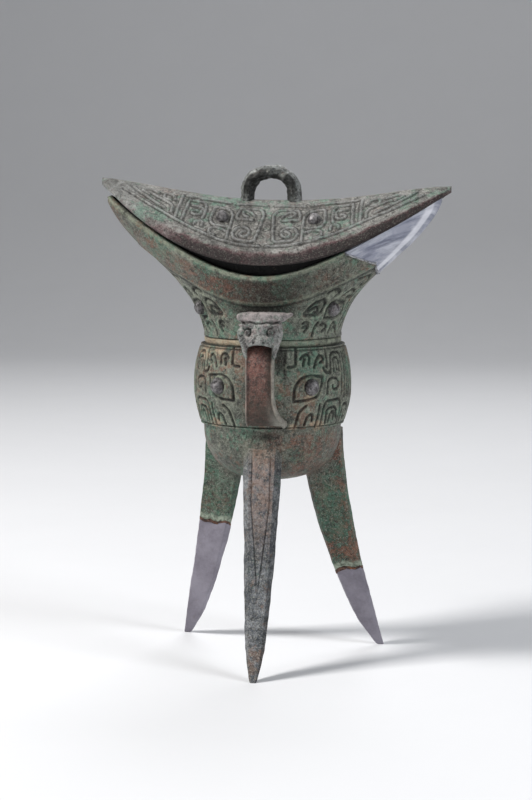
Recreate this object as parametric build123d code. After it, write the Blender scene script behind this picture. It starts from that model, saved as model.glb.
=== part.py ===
"""Lidded bronze wine vessel: a cup on three blade legs, a strap handle with an ox head, and a lift-off lid.

Millimetres, +Z up. The floor is Z = 0 and the cup's axis is the Z axis. The handle and the front leg
face -Y, and the two pointed ends of the mouth lie along +X and -X.
"""
import os
from math import atan2, cos, degrees, hypot, radians, sin, tan

from build123d import *

# Heights, stacked from the floor
BOWL_CLEARANCE = 82.5
BOWL_DEPTH = 26.3
BAND_HEIGHT = 36.1
WAIST_HEIGHT = 3.6
NECK_HEIGHT = 27.9
RIM_RISE = 34.5

# The round lower cup
BOWL_RADIUS = 31.4
BOWL_SQUARENESS = 2.5
BAND_PROUD = 1.4
BAND_BULGE = 3.2
WAIST_INSET = 1.0
WALL = 2.6

# The neck and mouth
MOUTH_HALF_LENGTH = 77.5
MOUTH_HALF_WIDTH = 35.0
MOUTH_END_ROUNDNESS = 0.45
END_WALL = 3.6
RIM_CURVE = 40.0
FLARE_START = 0.36
FLARE_SOFTNESS = 0.3
FLARE_FULLNESS = 0.7
NECK_ROOT_INSET = 0.4

# The broken edge under the mended mouth end, as places along X and depths below the rim's tips
BREAK_RIM_X = 36.8
BREAK_SHOULDER_X = 48.5
BREAK_RIM_DROP = 24.9
BREAK_SHOULDER_DROP = 28.9
SEAM = 0.5

# The handle, turned a little from the cup's front
HANDLE_TURN = 2.5
STRAP_WIDTH = 12.6
STRAP_THICKNESS = 3.0
FINGER_GAP = 9.0
STRAP_BEND = 9.0
STRAP_TOP_DROP = 0.45
HEAD_DROP = 4.5
HEAD_WIDTH = 19.0
MUZZLE_WIDTH = 13.0
HEAD_HEIGHT = 18.0
HEAD_REACH = 5.0
HORN_SPAN = 24.5
HORN_THICKNESS = 5.0
OX_EYE_RADIUS = 2.2

# The legs
FRONT_LEG_TURN = 0.4
LEFT_LEG_TURN = 235.6
RIGHT_LEG_TURN = 116.7
FRONT_FOOT_REACH = 55.5
LEFT_FOOT_REACH = 58.6
RIGHT_FOOT_REACH = 55.0
LEFT_LEG_LEAN = 5.3
LEG_TOP_DROP = 3.3
LEG_PROUD = 0.6
LEG_WIDTH = 18.4
LEG_DEPTH = 19.0
FOOT_WIDTH = 2.6
FOOT_DEPTH = 2.6
LEG_SPLAY_CURVE = 1.6
BLADE_TAPER = 0.48
BEVEL = 0.17
EDGE_FLAT = 0.12

# The two mended legs
LEFT_JOINT_HEIGHT = 60.0
RIGHT_JOINT_HEIGHT = 40.0
JOINT_SLANT = 8.0
FILLER = 1.2
DOWEL_RADIUS = 1.5
DOWEL_LENGTH = 16.0

# The lid
LID_OVERHANG = 1.3
LID_END_OVERHANG = 2.5
LID_GAP_MIDDLE = 7.6
LID_CURVE = 60.0
LID_EDGE_RISE = 0.85
ROOF_HEIGHT = 26.0
ROOF_END = 1.0
ROOF_FALL = 1.75
RIDGE_ROUND = 0.3
SKIRT_MIDDLE = 4.0
SKIRT_END = 2.3
LID_WALL = 2.6
LID_ROOF_WALL = 3.4
LID_TIP_TURN = 6.0
CAVITY_TIP_TURN = 15.0
LID_TILT = 1.35
SEAT_GAP = 0.35

# The lid's locating flange, and its room inside the mouth
FLANGE_DEPTH = 4.0
FLANGE_GAP = 1.0
FLANGE_END_GAP = 1.8
FLANGE_WALL = 2.2

# The lid's loop
LOOP_X = -1.4
LOOP_HALF_WIDTH = 14.0
LOOP_HEIGHT = 16.2
LOOP_BAR = 6.4
LOOP_BAR_DEPTH = 6.8

# The eyes of the masks, as half-round bosses
EYE_RADIUS = 2.8
BELLY_EYE_RADIUS = 3.4
EYE_SINK = 0.6
BELLY_EYE_SPREAD = 35.7
BELLY_EYE_HEIGHT = 19.0
NECK_EYE_SPREAD = 57.4
NECK_EYE_HEIGHT = 13.0
LID_EYE_X = 20.8
LID_EYE_SIDE = 0.47

# The cast grooves, and the size of the chart that the belly mask is drawn on
GROOVE_WIDTH = 1.0
GROOVE_DEPTH = 0.65
EDGE_LINE_INSET = 0.9
EDGE_LINE_WIDTH = 0.6
CHART_RADIUS = 36.0
CHART_HEIGHT = 36.1

# The main lines of the mask, one quarter of it: distance round from the handle, and height up the band
MASK_LINES = [
    [(11.4, 28.0), (14.9, 28.4), (15.5, 34.6)],
    [(17.6, 31.5), (19.7, 33.5), (22.5, 32.9), (21.5, 29.2)],
    [(24.2, 27.6), (26.0, 31.2), (28.8, 33.1), (30.6, 30.6), (27.8, 29.5)],
    [(33.5, 24.7), (34.8, 32.2), (37.0, 33.6), (42.5, 33.2), (42.2, 24.0)],
    [(36.0, 25.4), (36.8, 31.2), (40.4, 31.0), (40.2, 25.6)],
    [(13.7, 12.8), (14.2, 19.2), (17.2, 23.0), (21.5, 24.0), (28.6, 23.4)],
    [(28.6, 23.4), (26.8, 17.4), (25.2, 14.5), (20.4, 13.2), (13.7, 12.8)],
    [(31.4, 15.4), (31.7, 21.5), (34.7, 22.6), (38.9, 21.6), (39.0, 17.7), (35.2, 17.0)],
    [(45.2, 33.0), (44.4, 13.2)],
    [(49.8, 34.0), (49.4, 12.7)],
    [(53.6, 2.0), (53.6, 34.0)],
    [(15.2, 2.0), (16.5, 8.1), (19.8, 10.5)],
    [(26.5, 2.0), (27.3, 10.8)],
    [(32.2, 2.1), (31.8, 8.5), (37.8, 9.3), (39.5, 4.4)],
    [(41.4, 2.0), (41.6, 10.8), (40.2, 12.6), (31.0, 12.2), (29.6, 9.4), (29.4, 2.0)],
    [(43.4, 2.0), (43.8, 9.6), (48.8, 9.8), (49.0, 3.4), (46.0, 3.2)],
]

# Larger than any piece, for the blocks that cut
REACH = 400.0

# Heights and radii that follow
BAND_Z = BOWL_CLEARANCE + BOWL_DEPTH
WAIST_Z = BAND_Z + BAND_HEIGHT
NECK_Z = WAIST_Z + WAIST_HEIGHT
RIM_Z = NECK_Z + NECK_HEIGHT
TIP_Z = RIM_Z + RIM_RISE
BAND_EDGE_RADIUS = BOWL_RADIUS + BAND_PROUD
BAND_RADIUS = BAND_EDGE_RADIUS + BAND_BULGE
WAIST_RADIUS = BAND_EDGE_RADIUS - WAIST_INSET
NECK_ROOT_RADIUS = WAIST_RADIUS - NECK_ROOT_INSET
LEG_TOP_Z = BAND_Z - LEG_TOP_DROP
LID_EDGE_Z = RIM_Z + LID_GAP_MIDDLE
LID_HALF_LENGTH = MOUTH_HALF_LENGTH + LID_END_OVERHANG
LID_HALF_WIDTH = MOUTH_HALF_WIDTH + LID_OVERHANG
CREST_Z = LID_EDGE_Z + ROOF_HEIGHT
STRAP_OUT = BAND_RADIUS + FINGER_GAP + STRAP_THICKNESS / 2
HEAD_Z = NECK_Z - HEAD_DROP
STRAP_TOP_Z = HEAD_Z + STRAP_THICKNESS / 2 + STRAP_TOP_DROP * HEAD_HEIGHT / 3
STRAP_FOOT_Z = BAND_Z + STRAP_THICKNESS / 2


def saddle(x, curve):
    """Rise of a curve that is flat in the middle and straightens towards its ends."""
    return hypot(x, curve) - curve


def rim_height(x):
    return RIM_Z + RIM_RISE * saddle(x, RIM_CURVE) / saddle(MOUTH_HALF_LENGTH, RIM_CURVE)


def flare(z):
    """How far the neck has opened at a height: 0 at its root and 1 at the height of the mouth's tips."""
    def opening(share):
        lean = share - FLARE_START
        return lean + hypot(lean, FLARE_SOFTNESS)
    share = (z - NECK_Z) / (TIP_Z - NECK_Z)
    opened = (opening(share) - opening(0)) / (opening(1) - opening(0))
    return opened * (1 + FLARE_FULLNESS * (1 - opened))


def mouth_outline(half_length, half_width, roundness, turn):
    """A place on a pointed oval, at a turn in degrees from its +X end."""
    side = sin(radians(turn))
    return (half_length * cos(radians(turn)), half_width * side * (roundness + (1 - roundness) * abs(side)))


def neck_size(z):
    """Half length, half width and end roundness of the neck at a height."""
    opened = flare(z)
    half_length = NECK_ROOT_RADIUS + (MOUTH_HALF_LENGTH - NECK_ROOT_RADIUS) * opened
    half_width = NECK_ROOT_RADIUS + (MOUTH_HALF_WIDTH - NECK_ROOT_RADIUS) * opened / flare(RIM_Z)
    roundness = 1 - (1 - MOUTH_END_ROUNDNESS) * opened
    return half_length, half_width, roundness


def neck_solid(end_inset, side_inset):
    """The neck's solid form, drawn in from its outside by the two insets."""
    sections = []
    for step in range(10):
        z = WAIST_Z + (TIP_Z + WAIST_HEIGHT - WAIST_Z) * step / 9
        half_length, half_width, roundness = neck_size(z)
        places = [
            (*mouth_outline(half_length - end_inset, half_width - side_inset, roundness, turn), z)
            for turn in range(0, 360, 10)
        ]
        sections.append(make_face(Spline(*places, periodic=True)))
    return loft(sections)


def bowl_places(radius, depth, base_z):
    """Places up the side of the squarish round bowl, from its bottom to its brim."""
    places = []
    for step in range(9):
        turn = radians(90 * step / 8)
        across = radius * sin(turn) ** (2 / BOWL_SQUARENESS)
        up = depth * (1 - cos(turn) ** (2 / BOWL_SQUARENESS))
        places.append((across, 0, base_z + up))
    return places


def turned(edges):
    return revolve(make_face(edges), Axis.Z, 360)


def cup_outside():
    bowl = bowl_places(BOWL_RADIUS, BOWL_DEPTH, BOWL_CLEARANCE)
    band = ThreePointArc(
        (BAND_EDGE_RADIUS, 0, BAND_Z),
        (BAND_RADIUS, 0, (BAND_Z + WAIST_Z) / 2),
        (BAND_EDGE_RADIUS, 0, WAIST_Z),
    )
    top = Polyline(
        (BAND_EDGE_RADIUS, 0, WAIST_Z),
        (WAIST_RADIUS, 0, WAIST_Z + WAIST_INSET),
        (WAIST_RADIUS, 0, NECK_Z),
        (0, 0, NECK_Z),
        bowl[0],
    )
    step = Line(bowl[-1], (BAND_EDGE_RADIUS, 0, BAND_Z))
    round_part = turned(Spline(*bowl) + step + band + top)
    return round_part + neck_solid(0, 0)


def cup_inside():
    bowl = bowl_places(BOWL_RADIUS - WALL, BOWL_DEPTH - WALL, BOWL_CLEARANCE + WALL)
    root = WAIST_RADIUS - WALL
    band = ThreePointArc(
        bowl[-1],
        (BAND_RADIUS - WALL, 0, (BAND_Z + WAIST_Z) / 2),
        (root, 0, WAIST_Z + WAIST_INSET),
    )
    top = Polyline((root, 0, WAIST_Z + WAIST_INSET), (root, 0, NECK_Z), (0, 0, NECK_Z), bowl[0])
    return turned(Spline(*bowl) + band + top) + neck_solid(END_WALL, WALL)


def side_block(outline):
    """A block drawn in the XZ plane that runs right across the vessel along Y."""
    return extrude(make_face(outline), amount=REACH / 2, dir=(0, 1, 0), both=True)


def above_saddle(height_at):
    """The block above a curve along the vessel's length."""
    end = MOUTH_HALF_LENGTH + LID_END_OVERHANG * 4
    places = [(end * step / 8, 0, height_at(end * step / 8)) for step in range(-8, 9)]
    roof = Polyline(places[-1], (end, 0, REACH), (-end, 0, REACH), places[0])
    return side_block(Spline(*places) + roof)


def mouth_end_block(shift):
    """Everything on the mended side of the broken edge, moved into the mend by the shift."""
    rim = (BREAK_RIM_X + shift, 0, TIP_Z - BREAK_RIM_DROP + shift)
    shoulder = (BREAK_SHOULDER_X + shift, 0, TIP_Z - BREAK_SHOULDER_DROP + shift)
    below = (shoulder[0], 0, NECK_Z)
    return side_block(Polyline(
        rim, shoulder, below, (REACH, 0, NECK_Z), (REACH, 0, REACH), (rim[0], 0, REACH), rim,
    ))


def facing(turn, piece):
    """A piece drawn towards -Y, turned round the cup's axis."""
    return Rot(0, 0, turn) * piece


def thick_line(places):
    """A flat strip as wide as a groove along a broken line, mitred at its bends."""
    left, right = [], []
    for before, place, after in zip(places[:1] + places, places, places[1:] + places[-1:]):
        arriving = (place - before).normalized() if place != before else (after - place).normalized()
        leaving = (after - place).normalized() if after != place else arriving
        mitre = (arriving + leaving).normalized()
        reach = GROOVE_WIDTH / 2 / mitre.dot(arriving)
        left.append(place + Vector(-mitre.Y, mitre.X) * reach)
        right.append(place - Vector(-mitre.Y, mitre.X) * reach)
    return make_face(Polyline(*left, *reversed(right), left[0]))


def groove_block(places):
    """A radial block over a line drawn on the cup's surface, from outside it to well within it."""
    middle = sum(places, Vector()) / len(places)
    outward = Vector(middle.X, middle.Y).normalized()
    half_depth = NECK_ROOT_RADIUS / 3
    inner_end = outward * (outward.dot(middle) - half_depth)
    flat = Plane(origin=inner_end, x_dir=(-outward.Y, outward.X, 0), z_dir=outward)
    across = [Vector(place.dot(flat.x_dir), place.dot(flat.y_dir)) for place in places]
    return extrude(flat * thick_line(across), amount=2 * half_depth)


def in_four_quarters(places):
    """A line drawn in the quarter from the front towards +X, and its three mirror images."""
    return [
        [Vector(place.X * along, place.Y * across, place.Z) for place in places]
        for along in (1, -1)
        for across in (1, -1)
    ]


def mask_grooves():
    """The cast lines of the belly mask, as solids to be cut from the band."""
    core_edge = BAND_EDGE_RADIUS - GROOVE_DEPTH
    low, high = (core_edge, 0, BAND_Z), (core_edge, 0, WAIST_Z)
    arc = ThreePointArc(low, (BAND_RADIUS - GROOVE_DEPTH, 0, (BAND_Z + WAIST_Z) / 2), high)
    core = turned(arc + Polyline(high, (0, 0, WAIST_Z), (0, 0, BAND_Z), low))
    grooves = []
    for line in MASK_LINES:
        places = []
        for distance, height in line:
            turn = distance / CHART_RADIUS
            up = BAND_Z + height * BAND_HEIGHT / CHART_HEIGHT
            places.append(Vector(BAND_RADIUS * sin(turn), -BAND_RADIUS * cos(turn), up))
        grooves += [facing(HANDLE_TURN, groove_block(image)) for image in in_four_quarters(places)]
    for z in (BAND_Z + EDGE_LINE_INSET, WAIST_Z - EDGE_LINE_INSET):
        grooves.append(Pos(0, 0, z) * Cylinder(REACH, EDGE_LINE_WIDTH))
    return Part() + grooves - core


def strap():
    inside = NECK_ROOT_RADIUS - WALL / 2
    path = FilletPolyline(
        (0, -inside, STRAP_TOP_Z),
        (0, -STRAP_OUT, STRAP_TOP_Z),
        (0, -STRAP_OUT, STRAP_FOOT_Z),
        (0, -inside, STRAP_FOOT_Z),
        radius=STRAP_BEND,
    )
    across = Plane(origin=path @ 0, z_dir=path % 0, x_dir=(1, 0, 0))
    return sweep(across * Rectangle(STRAP_WIDTH, STRAP_THICKNESS), path)


def ox_horn(hand, y, top):
    """A round horn that leaves the crown sideways, thins and turns up at its tip."""
    sections = []
    for step in range(5):
        share = step / 4
        place = (
            hand * (HEAD_WIDTH * 0.2 + (HORN_SPAN / 2 - HEAD_WIDTH * 0.2) * share),
            y,
            top - HORN_THICKNESS / 2 + HORN_THICKNESS * 0.8 * share ** 2,
        )
        along = (hand * (HORN_SPAN / 2 - HEAD_WIDTH * 0.2), 0, HORN_THICKNESS * 1.6 * share)
        radius = HORN_THICKNESS / 2 * (1 - 0.7 * share)
        sections.append(Plane(origin=place, z_dir=along, x_dir=(0, 1, 0)) * Circle(radius))
    return loft(sections)


def ox_head():
    face_out = STRAP_OUT + STRAP_THICKNESS / 2
    base = HEAD_Z
    top = base + HEAD_HEIGHT
    brow = base + HEAD_HEIGHT * 0.66
    back = NECK_ROOT_RADIUS - WALL / 2
    side = Polyline(
        (0, -back, base),
        (0, -face_out - HEAD_REACH * 0.6, base),
        (0, -face_out - HEAD_REACH, base + HEAD_HEIGHT * 0.25),
        (0, -face_out, brow),
        (0, -face_out + HEAD_REACH, top),
        (0, -back, top),
        (0, -back, base),
    )
    front = Polyline(
        (-MUZZLE_WIDTH / 2, 0, base),
        (MUZZLE_WIDTH / 2, 0, base),
        (HEAD_WIDTH / 2, 0, brow),
        (HEAD_WIDTH / 2, 0, top),
        (-HEAD_WIDTH / 2, 0, top),
        (-HEAD_WIDTH / 2, 0, brow),
        (-MUZZLE_WIDTH / 2, 0, base),
    )
    skull = extrude(make_face(side), amount=HEAD_WIDTH, dir=(1, 0, 0), both=True) & side_block(front)
    head = skull
    for hand in (-1, 1):
        head += ox_horn(hand, -face_out + HEAD_REACH * 0.2, top)
        head += Pos(hand * HEAD_WIDTH * 0.32, -face_out, brow - OX_EYE_RADIUS) * Sphere(OX_EYE_RADIUS)
    return head


def leg_face_reach(height_share, foot_reach):
    """How far the leg's outer face stands from the cup's axis."""
    top_reach = BOWL_RADIUS + LEG_PROUD
    return top_reach + (foot_reach - top_reach) * (1 - height_share) ** LEG_SPLAY_CURVE


def leg_depth(height_share):
    return FOOT_DEPTH + (LEG_DEPTH - FOOT_DEPTH) * height_share ** BLADE_TAPER


def leg_shift(height_share, lean):
    """How far the leg leans sideways from its foot."""
    return lean * (1 - (1 - height_share) ** 2)


def leg_blade(foot_reach, lean):
    """A three-edged blade with a bevelled outer face, tapering to a small flat foot."""
    sections = []
    for step in range(9):
        height_share = step / 8
        width = FOOT_WIDTH + (LEG_WIDTH - FOOT_WIDTH) * height_share ** BLADE_TAPER
        depth = leg_depth(height_share)
        face = -leg_face_reach(height_share, foot_reach)
        half = width / 2
        panel = half - width * BEVEL
        edge = width * EDGE_FLAT
        outline = Polyline(
            (-panel, face), (panel, face), (half, face + width * BEVEL), (edge, face + depth),
            (-edge, face + depth), (-half, face + width * BEVEL), (-panel, face),
        )
        place = Pos(leg_shift(height_share, lean), 0, LEG_TOP_Z * height_share)
        sections.append(place * make_face(outline))
    return loft(sections)


def mended_leg(foot_reach, lean, joint_height):
    """The stump, filler layer, replaced tip and dowel of a mended leg."""
    blade = leg_blade(foot_reach, lean)
    def middle(height):
        share = height / LEG_TOP_Z
        inward = leg_depth(share) * 0.4 - leg_face_reach(share, foot_reach)
        return Vector(leg_shift(share, lean), inward, height)
    joint = middle(joint_height)
    along = middle(joint_height + DOWEL_LENGTH / 2) - middle(joint_height - DOWEL_LENGTH / 2)
    dowel = Plane(origin=joint, z_dir=along) * Cylinder(DOWEL_RADIUS, DOWEL_LENGTH)
    cut = Plane(origin=joint, z_dir=along) * Rot(0, JOINT_SLANT, 0)
    layer = cut * Box(REACH, REACH, FILLER)
    upper = cut * Pos(0, 0, REACH / 2) * Box(REACH, REACH, REACH)
    stump = (blade & upper) - layer - dowel
    filler = (blade & layer) - dowel
    tip = blade - upper - layer - dowel
    return stump, filler, tip, dowel


def roof_fall(side):
    """How far the lid's roof has fallen, as a share of its height, at a share of its half width."""
    return (hypot(side, RIDGE_ROUND) - RIDGE_ROUND) / (hypot(1, RIDGE_ROUND) - RIDGE_ROUND)


def lid_edge_height(x):
    return LID_EDGE_Z + LID_EDGE_RISE * saddle(x, LID_CURVE)


def lid_roof_height(x):
    return ROOF_END + (ROOF_HEIGHT - ROOF_END) * (1 - (abs(x) / LID_HALF_LENGTH) ** ROOF_FALL)


def lid_skirt_bottom(x):
    return lid_edge_height(x) - SKIRT_MIDDLE + (SKIRT_MIDDLE - SKIRT_END) * (x / LID_HALF_LENGTH) ** 2


def lid_solid(end_turn, side_inset, roof_inset, skirt_drop):
    """The lid's form as cross sections along its length, drawn in by the insets."""
    sections = []
    for step in range(17):
        turn = end_turn + (180 - 2 * end_turn) * step / 16
        x, half_width = mouth_outline(LID_HALF_LENGTH, LID_HALF_WIDTH, MOUTH_END_ROUNDNESS, turn)
        half = half_width - side_inset
        edge = lid_edge_height(x) - roof_inset
        bottom = lid_skirt_bottom(x) - skirt_drop
        roof = [
            (x, half * side / 4, edge + lid_roof_height(x) * (1 - roof_fall(side / 4)))
            for side in range(4, -5, -1)
        ]
        walls = Polyline(roof[-1], (x, -half, bottom), (x, half, bottom), roof[0])
        sections.append(make_face(Spline(*roof) + walls))
    return loft(sections)


def lid_flange(cavity):
    """A ring that follows the mouth's inside, from below the rim up to the seated lid's underside."""
    ring = neck_solid(END_WALL + FLANGE_END_GAP, WALL + FLANGE_GAP)
    ring -= neck_solid(END_WALL + FLANGE_END_GAP + FLANGE_WALL, WALL + FLANGE_GAP + FLANGE_WALL)
    return (ring & cavity) & above_saddle(lambda x: rim_height(x) - FLANGE_DEPTH)


def loop_bar():
    half = LOOP_HALF_WIDTH - LOOP_BAR / 2
    shoulder = CREST_Z + LOOP_HEIGHT - LOOP_HALF_WIDTH
    base = CREST_Z - LOOP_BAR
    path = (
        Line((LOOP_X - half, 0, base), (LOOP_X - half, 0, shoulder))
        + ThreePointArc(
            (LOOP_X - half, 0, shoulder), (LOOP_X, 0, shoulder + half), (LOOP_X + half, 0, shoulder),
        )
        + Line((LOOP_X + half, 0, shoulder), (LOOP_X + half, 0, base))
    )
    across = Plane(origin=(LOOP_X - half, 0, base), z_dir=(0, 0, 1), x_dir=(1, 0, 0))
    return sweep(across * Ellipse(LOOP_BAR / 2, LOOP_BAR_DEPTH / 2), path)


def eye(place, radius=EYE_RADIUS):
    return Pos(*place) * Sphere(radius)


def belly_eyes():
    one = eye((0, -(BAND_RADIUS - EYE_SINK * 2), BAND_Z + BELLY_EYE_HEIGHT), BELLY_EYE_RADIUS)
    spread = (BELLY_EYE_SPREAD, -BELLY_EYE_SPREAD, 180 + BELLY_EYE_SPREAD, 180 - BELLY_EYE_SPREAD)
    return [facing(HANDLE_TURN + turn, one) for turn in spread]


def neck_eyes():
    z = NECK_Z + NECK_EYE_HEIGHT
    turns = (90 - NECK_EYE_SPREAD, 90 + NECK_EYE_SPREAD, 270 - NECK_EYE_SPREAD, 270 + NECK_EYE_SPREAD)
    half_length, half_width, roundness = neck_size(z)
    size = (half_length - EYE_SINK, half_width - EYE_SINK, roundness)
    return [eye((*mouth_outline(*size, turn), z)) for turn in turns]


def lid_eyes():
    eyes = []
    for hand in (-1, 1):
        for side in (-1, 1):
            x = hand * LID_EYE_X
            turn = degrees(atan2((1 - (x / LID_HALF_LENGTH) ** 2) ** 0.5, x / LID_HALF_LENGTH))
            half = mouth_outline(LID_HALF_LENGTH, LID_HALF_WIDTH, MOUTH_END_ROUNDNESS, turn)[1]
            z = lid_edge_height(x) + lid_roof_height(x) * (1 - roof_fall(LID_EYE_SIDE))
            eyes.append(eye((x, side * half * LID_EYE_SIDE, z - EYE_SINK)))
    return eyes


def proud_of(pieces, body):
    """The parts of some pieces that stand out of a body, as one compound."""
    return Compound([solid for piece in pieces for solid in (piece - body).solids()])


def seat_lift():
    """How far the tilted lid is raised so that its skirt just clears the rim."""
    lean = tan(radians(LID_TILT))
    places = [MOUTH_HALF_LENGTH * step / 40 for step in range(-40, 41)]
    return max(rim_height(x) + SEAT_GAP - lid_skirt_bottom(x) + x * lean for x in places)


def seated(piece):
    """A lid piece as it rests on the cup: tipped along the length with its -X end up."""
    return Pos(0, 0, seat_lift() + LID_EDGE_Z) * Rot(0, LID_TILT, 0) * Pos(0, 0, -LID_EDGE_Z) * piece


outside = cup_outside()
shell = (outside - cup_inside()) - above_saddle(rim_height)
mended_side = mouth_end_block(0)
mended_core = mouth_end_block(SEAM)

front_blade = facing(FRONT_LEG_TURN, leg_blade(FRONT_FOOT_REACH, 0))
left_pieces = mended_leg(LEFT_FOOT_REACH, LEFT_LEG_LEAN, LEFT_JOINT_HEIGHT)
right_pieces = mended_leg(RIGHT_FOOT_REACH, 0, RIGHT_JOINT_HEIGHT)
left_pieces = [facing(LEFT_LEG_TURN, piece) for piece in left_pieces]
right_pieces = [facing(RIGHT_LEG_TURN, piece) for piece in right_pieces]

handle = strap()
head = ox_head() - handle

lid_outside = lid_solid(LID_TIP_TURN, 0, 0, 0)
lid_cavity = lid_solid(CAVITY_TIP_TURN, LID_WALL, LID_ROOF_WALL, NECK_HEIGHT)

pieces = {
    "cup_shell": shell - mended_side - mask_grooves(),
    "mouth_repair_seam": (shell & mended_side) - mended_core,
    "mouth_end_repair": shell & mended_core,
    "handle_strap": facing(HANDLE_TURN, handle) - outside,
    "handle_ox_head": facing(HANDLE_TURN, head) - outside,
    "front_leg": front_blade - outside,
    "left_leg_stump": left_pieces[0] - outside,
    "left_leg_filler": left_pieces[1],
    "left_leg_tip_repair": left_pieces[2],
    "left_leg_dowel": left_pieces[3],
    "right_leg_stump": right_pieces[0] - outside,
    "right_leg_filler": right_pieces[1],
    "right_leg_tip_repair": right_pieces[2],
    "right_leg_dowel": right_pieces[3],
    "belly_eye_bosses": proud_of(belly_eyes(), outside),
    "neck_eye_bosses": proud_of(neck_eyes(), outside),
    "lid_shell": seated(lid_outside - lid_cavity),
    "lid_inner_flange": lid_flange(seated(lid_cavity)),
    "lid_loop": seated(loop_bar() - lid_outside),
    "lid_eye_bosses": seated(proud_of(lid_eyes(), lid_outside)),
}

os.makedirs("parts", exist_ok=True)
for name, piece in pieces.items():
    export_step(piece, f"parts/{name}.step")
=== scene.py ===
"""The lidded bronze cup dressed for its picture: cast relief, patina, mends, light and camera.

Lengths are millimetres in the cup's own frame, with the floor at Z = 0, the handle towards -Y and the
mended end of the mouth towards +X. They become metres when a piece is made.
"""

from collections import namedtuple
from math import cos, hypot, pi, radians, sin, tan

import bmesh
import bpy
import numpy as np
from mathutils import Matrix, Vector


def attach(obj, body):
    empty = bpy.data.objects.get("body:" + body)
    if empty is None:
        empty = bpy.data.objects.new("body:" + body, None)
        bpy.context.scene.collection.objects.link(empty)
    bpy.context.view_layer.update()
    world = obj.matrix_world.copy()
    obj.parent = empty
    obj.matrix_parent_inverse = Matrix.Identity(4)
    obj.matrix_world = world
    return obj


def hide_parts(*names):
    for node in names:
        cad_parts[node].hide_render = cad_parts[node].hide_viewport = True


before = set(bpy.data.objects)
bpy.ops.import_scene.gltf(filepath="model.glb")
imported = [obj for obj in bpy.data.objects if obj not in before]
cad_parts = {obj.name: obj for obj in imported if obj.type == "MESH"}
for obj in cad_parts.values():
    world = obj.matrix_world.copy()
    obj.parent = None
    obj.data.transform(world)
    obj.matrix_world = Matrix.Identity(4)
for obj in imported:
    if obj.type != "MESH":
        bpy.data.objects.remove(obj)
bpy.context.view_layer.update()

MM = 0.001
LEAST_LENGTH = 1e-9

# Heights, stacked from the floor
BOWL_CLEARANCE = 82.5
BOWL_DEPTH = 26.3
BAND_HEIGHT = 36.1
WAIST_HEIGHT = 3.6
NECK_HEIGHT = 27.9
RIM_RISE = 34.5

# The round lower cup
BOWL_RADIUS = 31.4
BOWL_SQUARENESS = 2.5
BOWL_START = 0.02
BAND_PROUD = 1.4
BAND_BULGE = 3.2
WAIST_INSET = 1.0
WALL = 2.6

# The neck and mouth
MOUTH_HALF_LENGTH = 77.5
MOUTH_HALF_WIDTH = 35.0
MOUTH_END_ROUNDNESS = 0.45
RIM_CURVE = 40.0
FLARE_START = 0.36
FLARE_SOFTNESS = 0.3
FLARE_FULLNESS = 0.7
NECK_ROOT_INSET = 0.4
RIM_BAND = 13.0
RIM_LIP = 2.6
RIM_LIP_ROUND = 0.5

# The broken edge under the mended mouth end
BREAK_RIM_X = 36.8
BREAK_SHOULDER_X = 48.5
BREAK_RIM_DROP = 24.9
BREAK_SHOULDER_DROP = 28.9
BREAK_JAG = 0.2
BREAK_JAG_LENGTH = 5
SEAM_RADIUS = 0.4
SEAM_TUCK = 0.4
SEAM_WANDER = 0.12
SEAM_WANDER_LENGTH = 6
SEAM_UNEVENNESS = 0.25
SEAM_LUMP_LENGTH = 3
SEAM_GUIDE = (0.31, 0.83, 0.47)
STREAK_ALONG = (0.84, 0.0, 0.54)
STREAK_ACROSS = (-0.54, 0.3, 0.84)
STREAK_STRETCH = 0.12
# Where the painted highlight runs along the ridge under the mended end, and its width
KEEL_HIGHLIGHT_SIDE = 0.3
KEEL_HIGHLIGHT_WIDTH = 0.12

# The handle
HANDLE_TURN = 2.5
STRAP_WIDTH = 12.6
STRAP_THICKNESS = 3.0
STRAP_ROUNDNESS = 0.45
FINGER_GAP = 9.0
STRAP_BEND = 9.0
FOOT_FLARE = 4.0
FOOT_PINCH = 0.3
FOOT_LIFT = 1.8
FOOT_FLARE_TOP = 17.0
FOOT_FLARE_HEIGHT = 15.0
RIGHT_LIP_RISE = 0.5
LEFT_LIP_RISE = 0.2
FACE_SINK = 0.6
RIGHT_LIP = (0.74, 0.9)
LEFT_LIP = (0.84, 0.95)
FOOT_FLARE_SIDE = (-0.3, 1)
STRAP_TOP_DROP = 0.45
HEAD_DROP = 4.5
HEAD_HEIGHT = 18.0

# The lumps that the ox head is modelled from: place sideways, outward and below its top, half sizes
# in the same order, and squareness (2 is an egg, and more is boxier)
HEAD_LUMPS = [
    ((0, 37.0, 8.5), (8.4, 6.5, 7.0), 3.0),
    ((0.3, 43.4, 8.4), (9.2, 6.3, 7.8), 2.8),
    ((0.6, 45.2, 2.3), (10.8, 3.9, 2.2), 4.0),
    ((0, 48.6, 8.4), (2.8, 2.4, 4.8), 2.0),
    ((0, 48.8, 12.3), (5.8, 3.6, 3.0), 2.6),
    ((-4.8, 48.9, 5.5), (4.2, 1.3, 0.9), 2.0),
    ((4.8, 48.9, 5.5), (4.2, 1.3, 0.9), 2.0),
    ((-5.05, 49.4, 8.5), (1.3, 1.1, 1.3), 2.0),
    ((5.05, 49.4, 8.5), (1.3, 1.1, 1.3), 2.0),
]

# The rows of lumps in its horn's tip and its cheeks: first place, run of places, first size and taper
HORN_ROOT = np.array([9.6, 45.0, 2.0])
HORN_SWEEP = np.array([3.4, -0.8, -0.9])
HORN_SIZE = np.array([2.2, 3.2, 1.9])
HORN_TAPER = np.array([1.0, 2.0, 1.1])
CHEEK_TOP = np.array([8.0, 45.2, 9.5])
CHEEK_RUN = np.array([-2.2, 0.8, 9.5])
CHEEK_SIZE = np.array([2.0, 3.4, 3.0])
CHEEK_TAPER = np.array([1.1, 1.6, 0.0])

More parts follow.
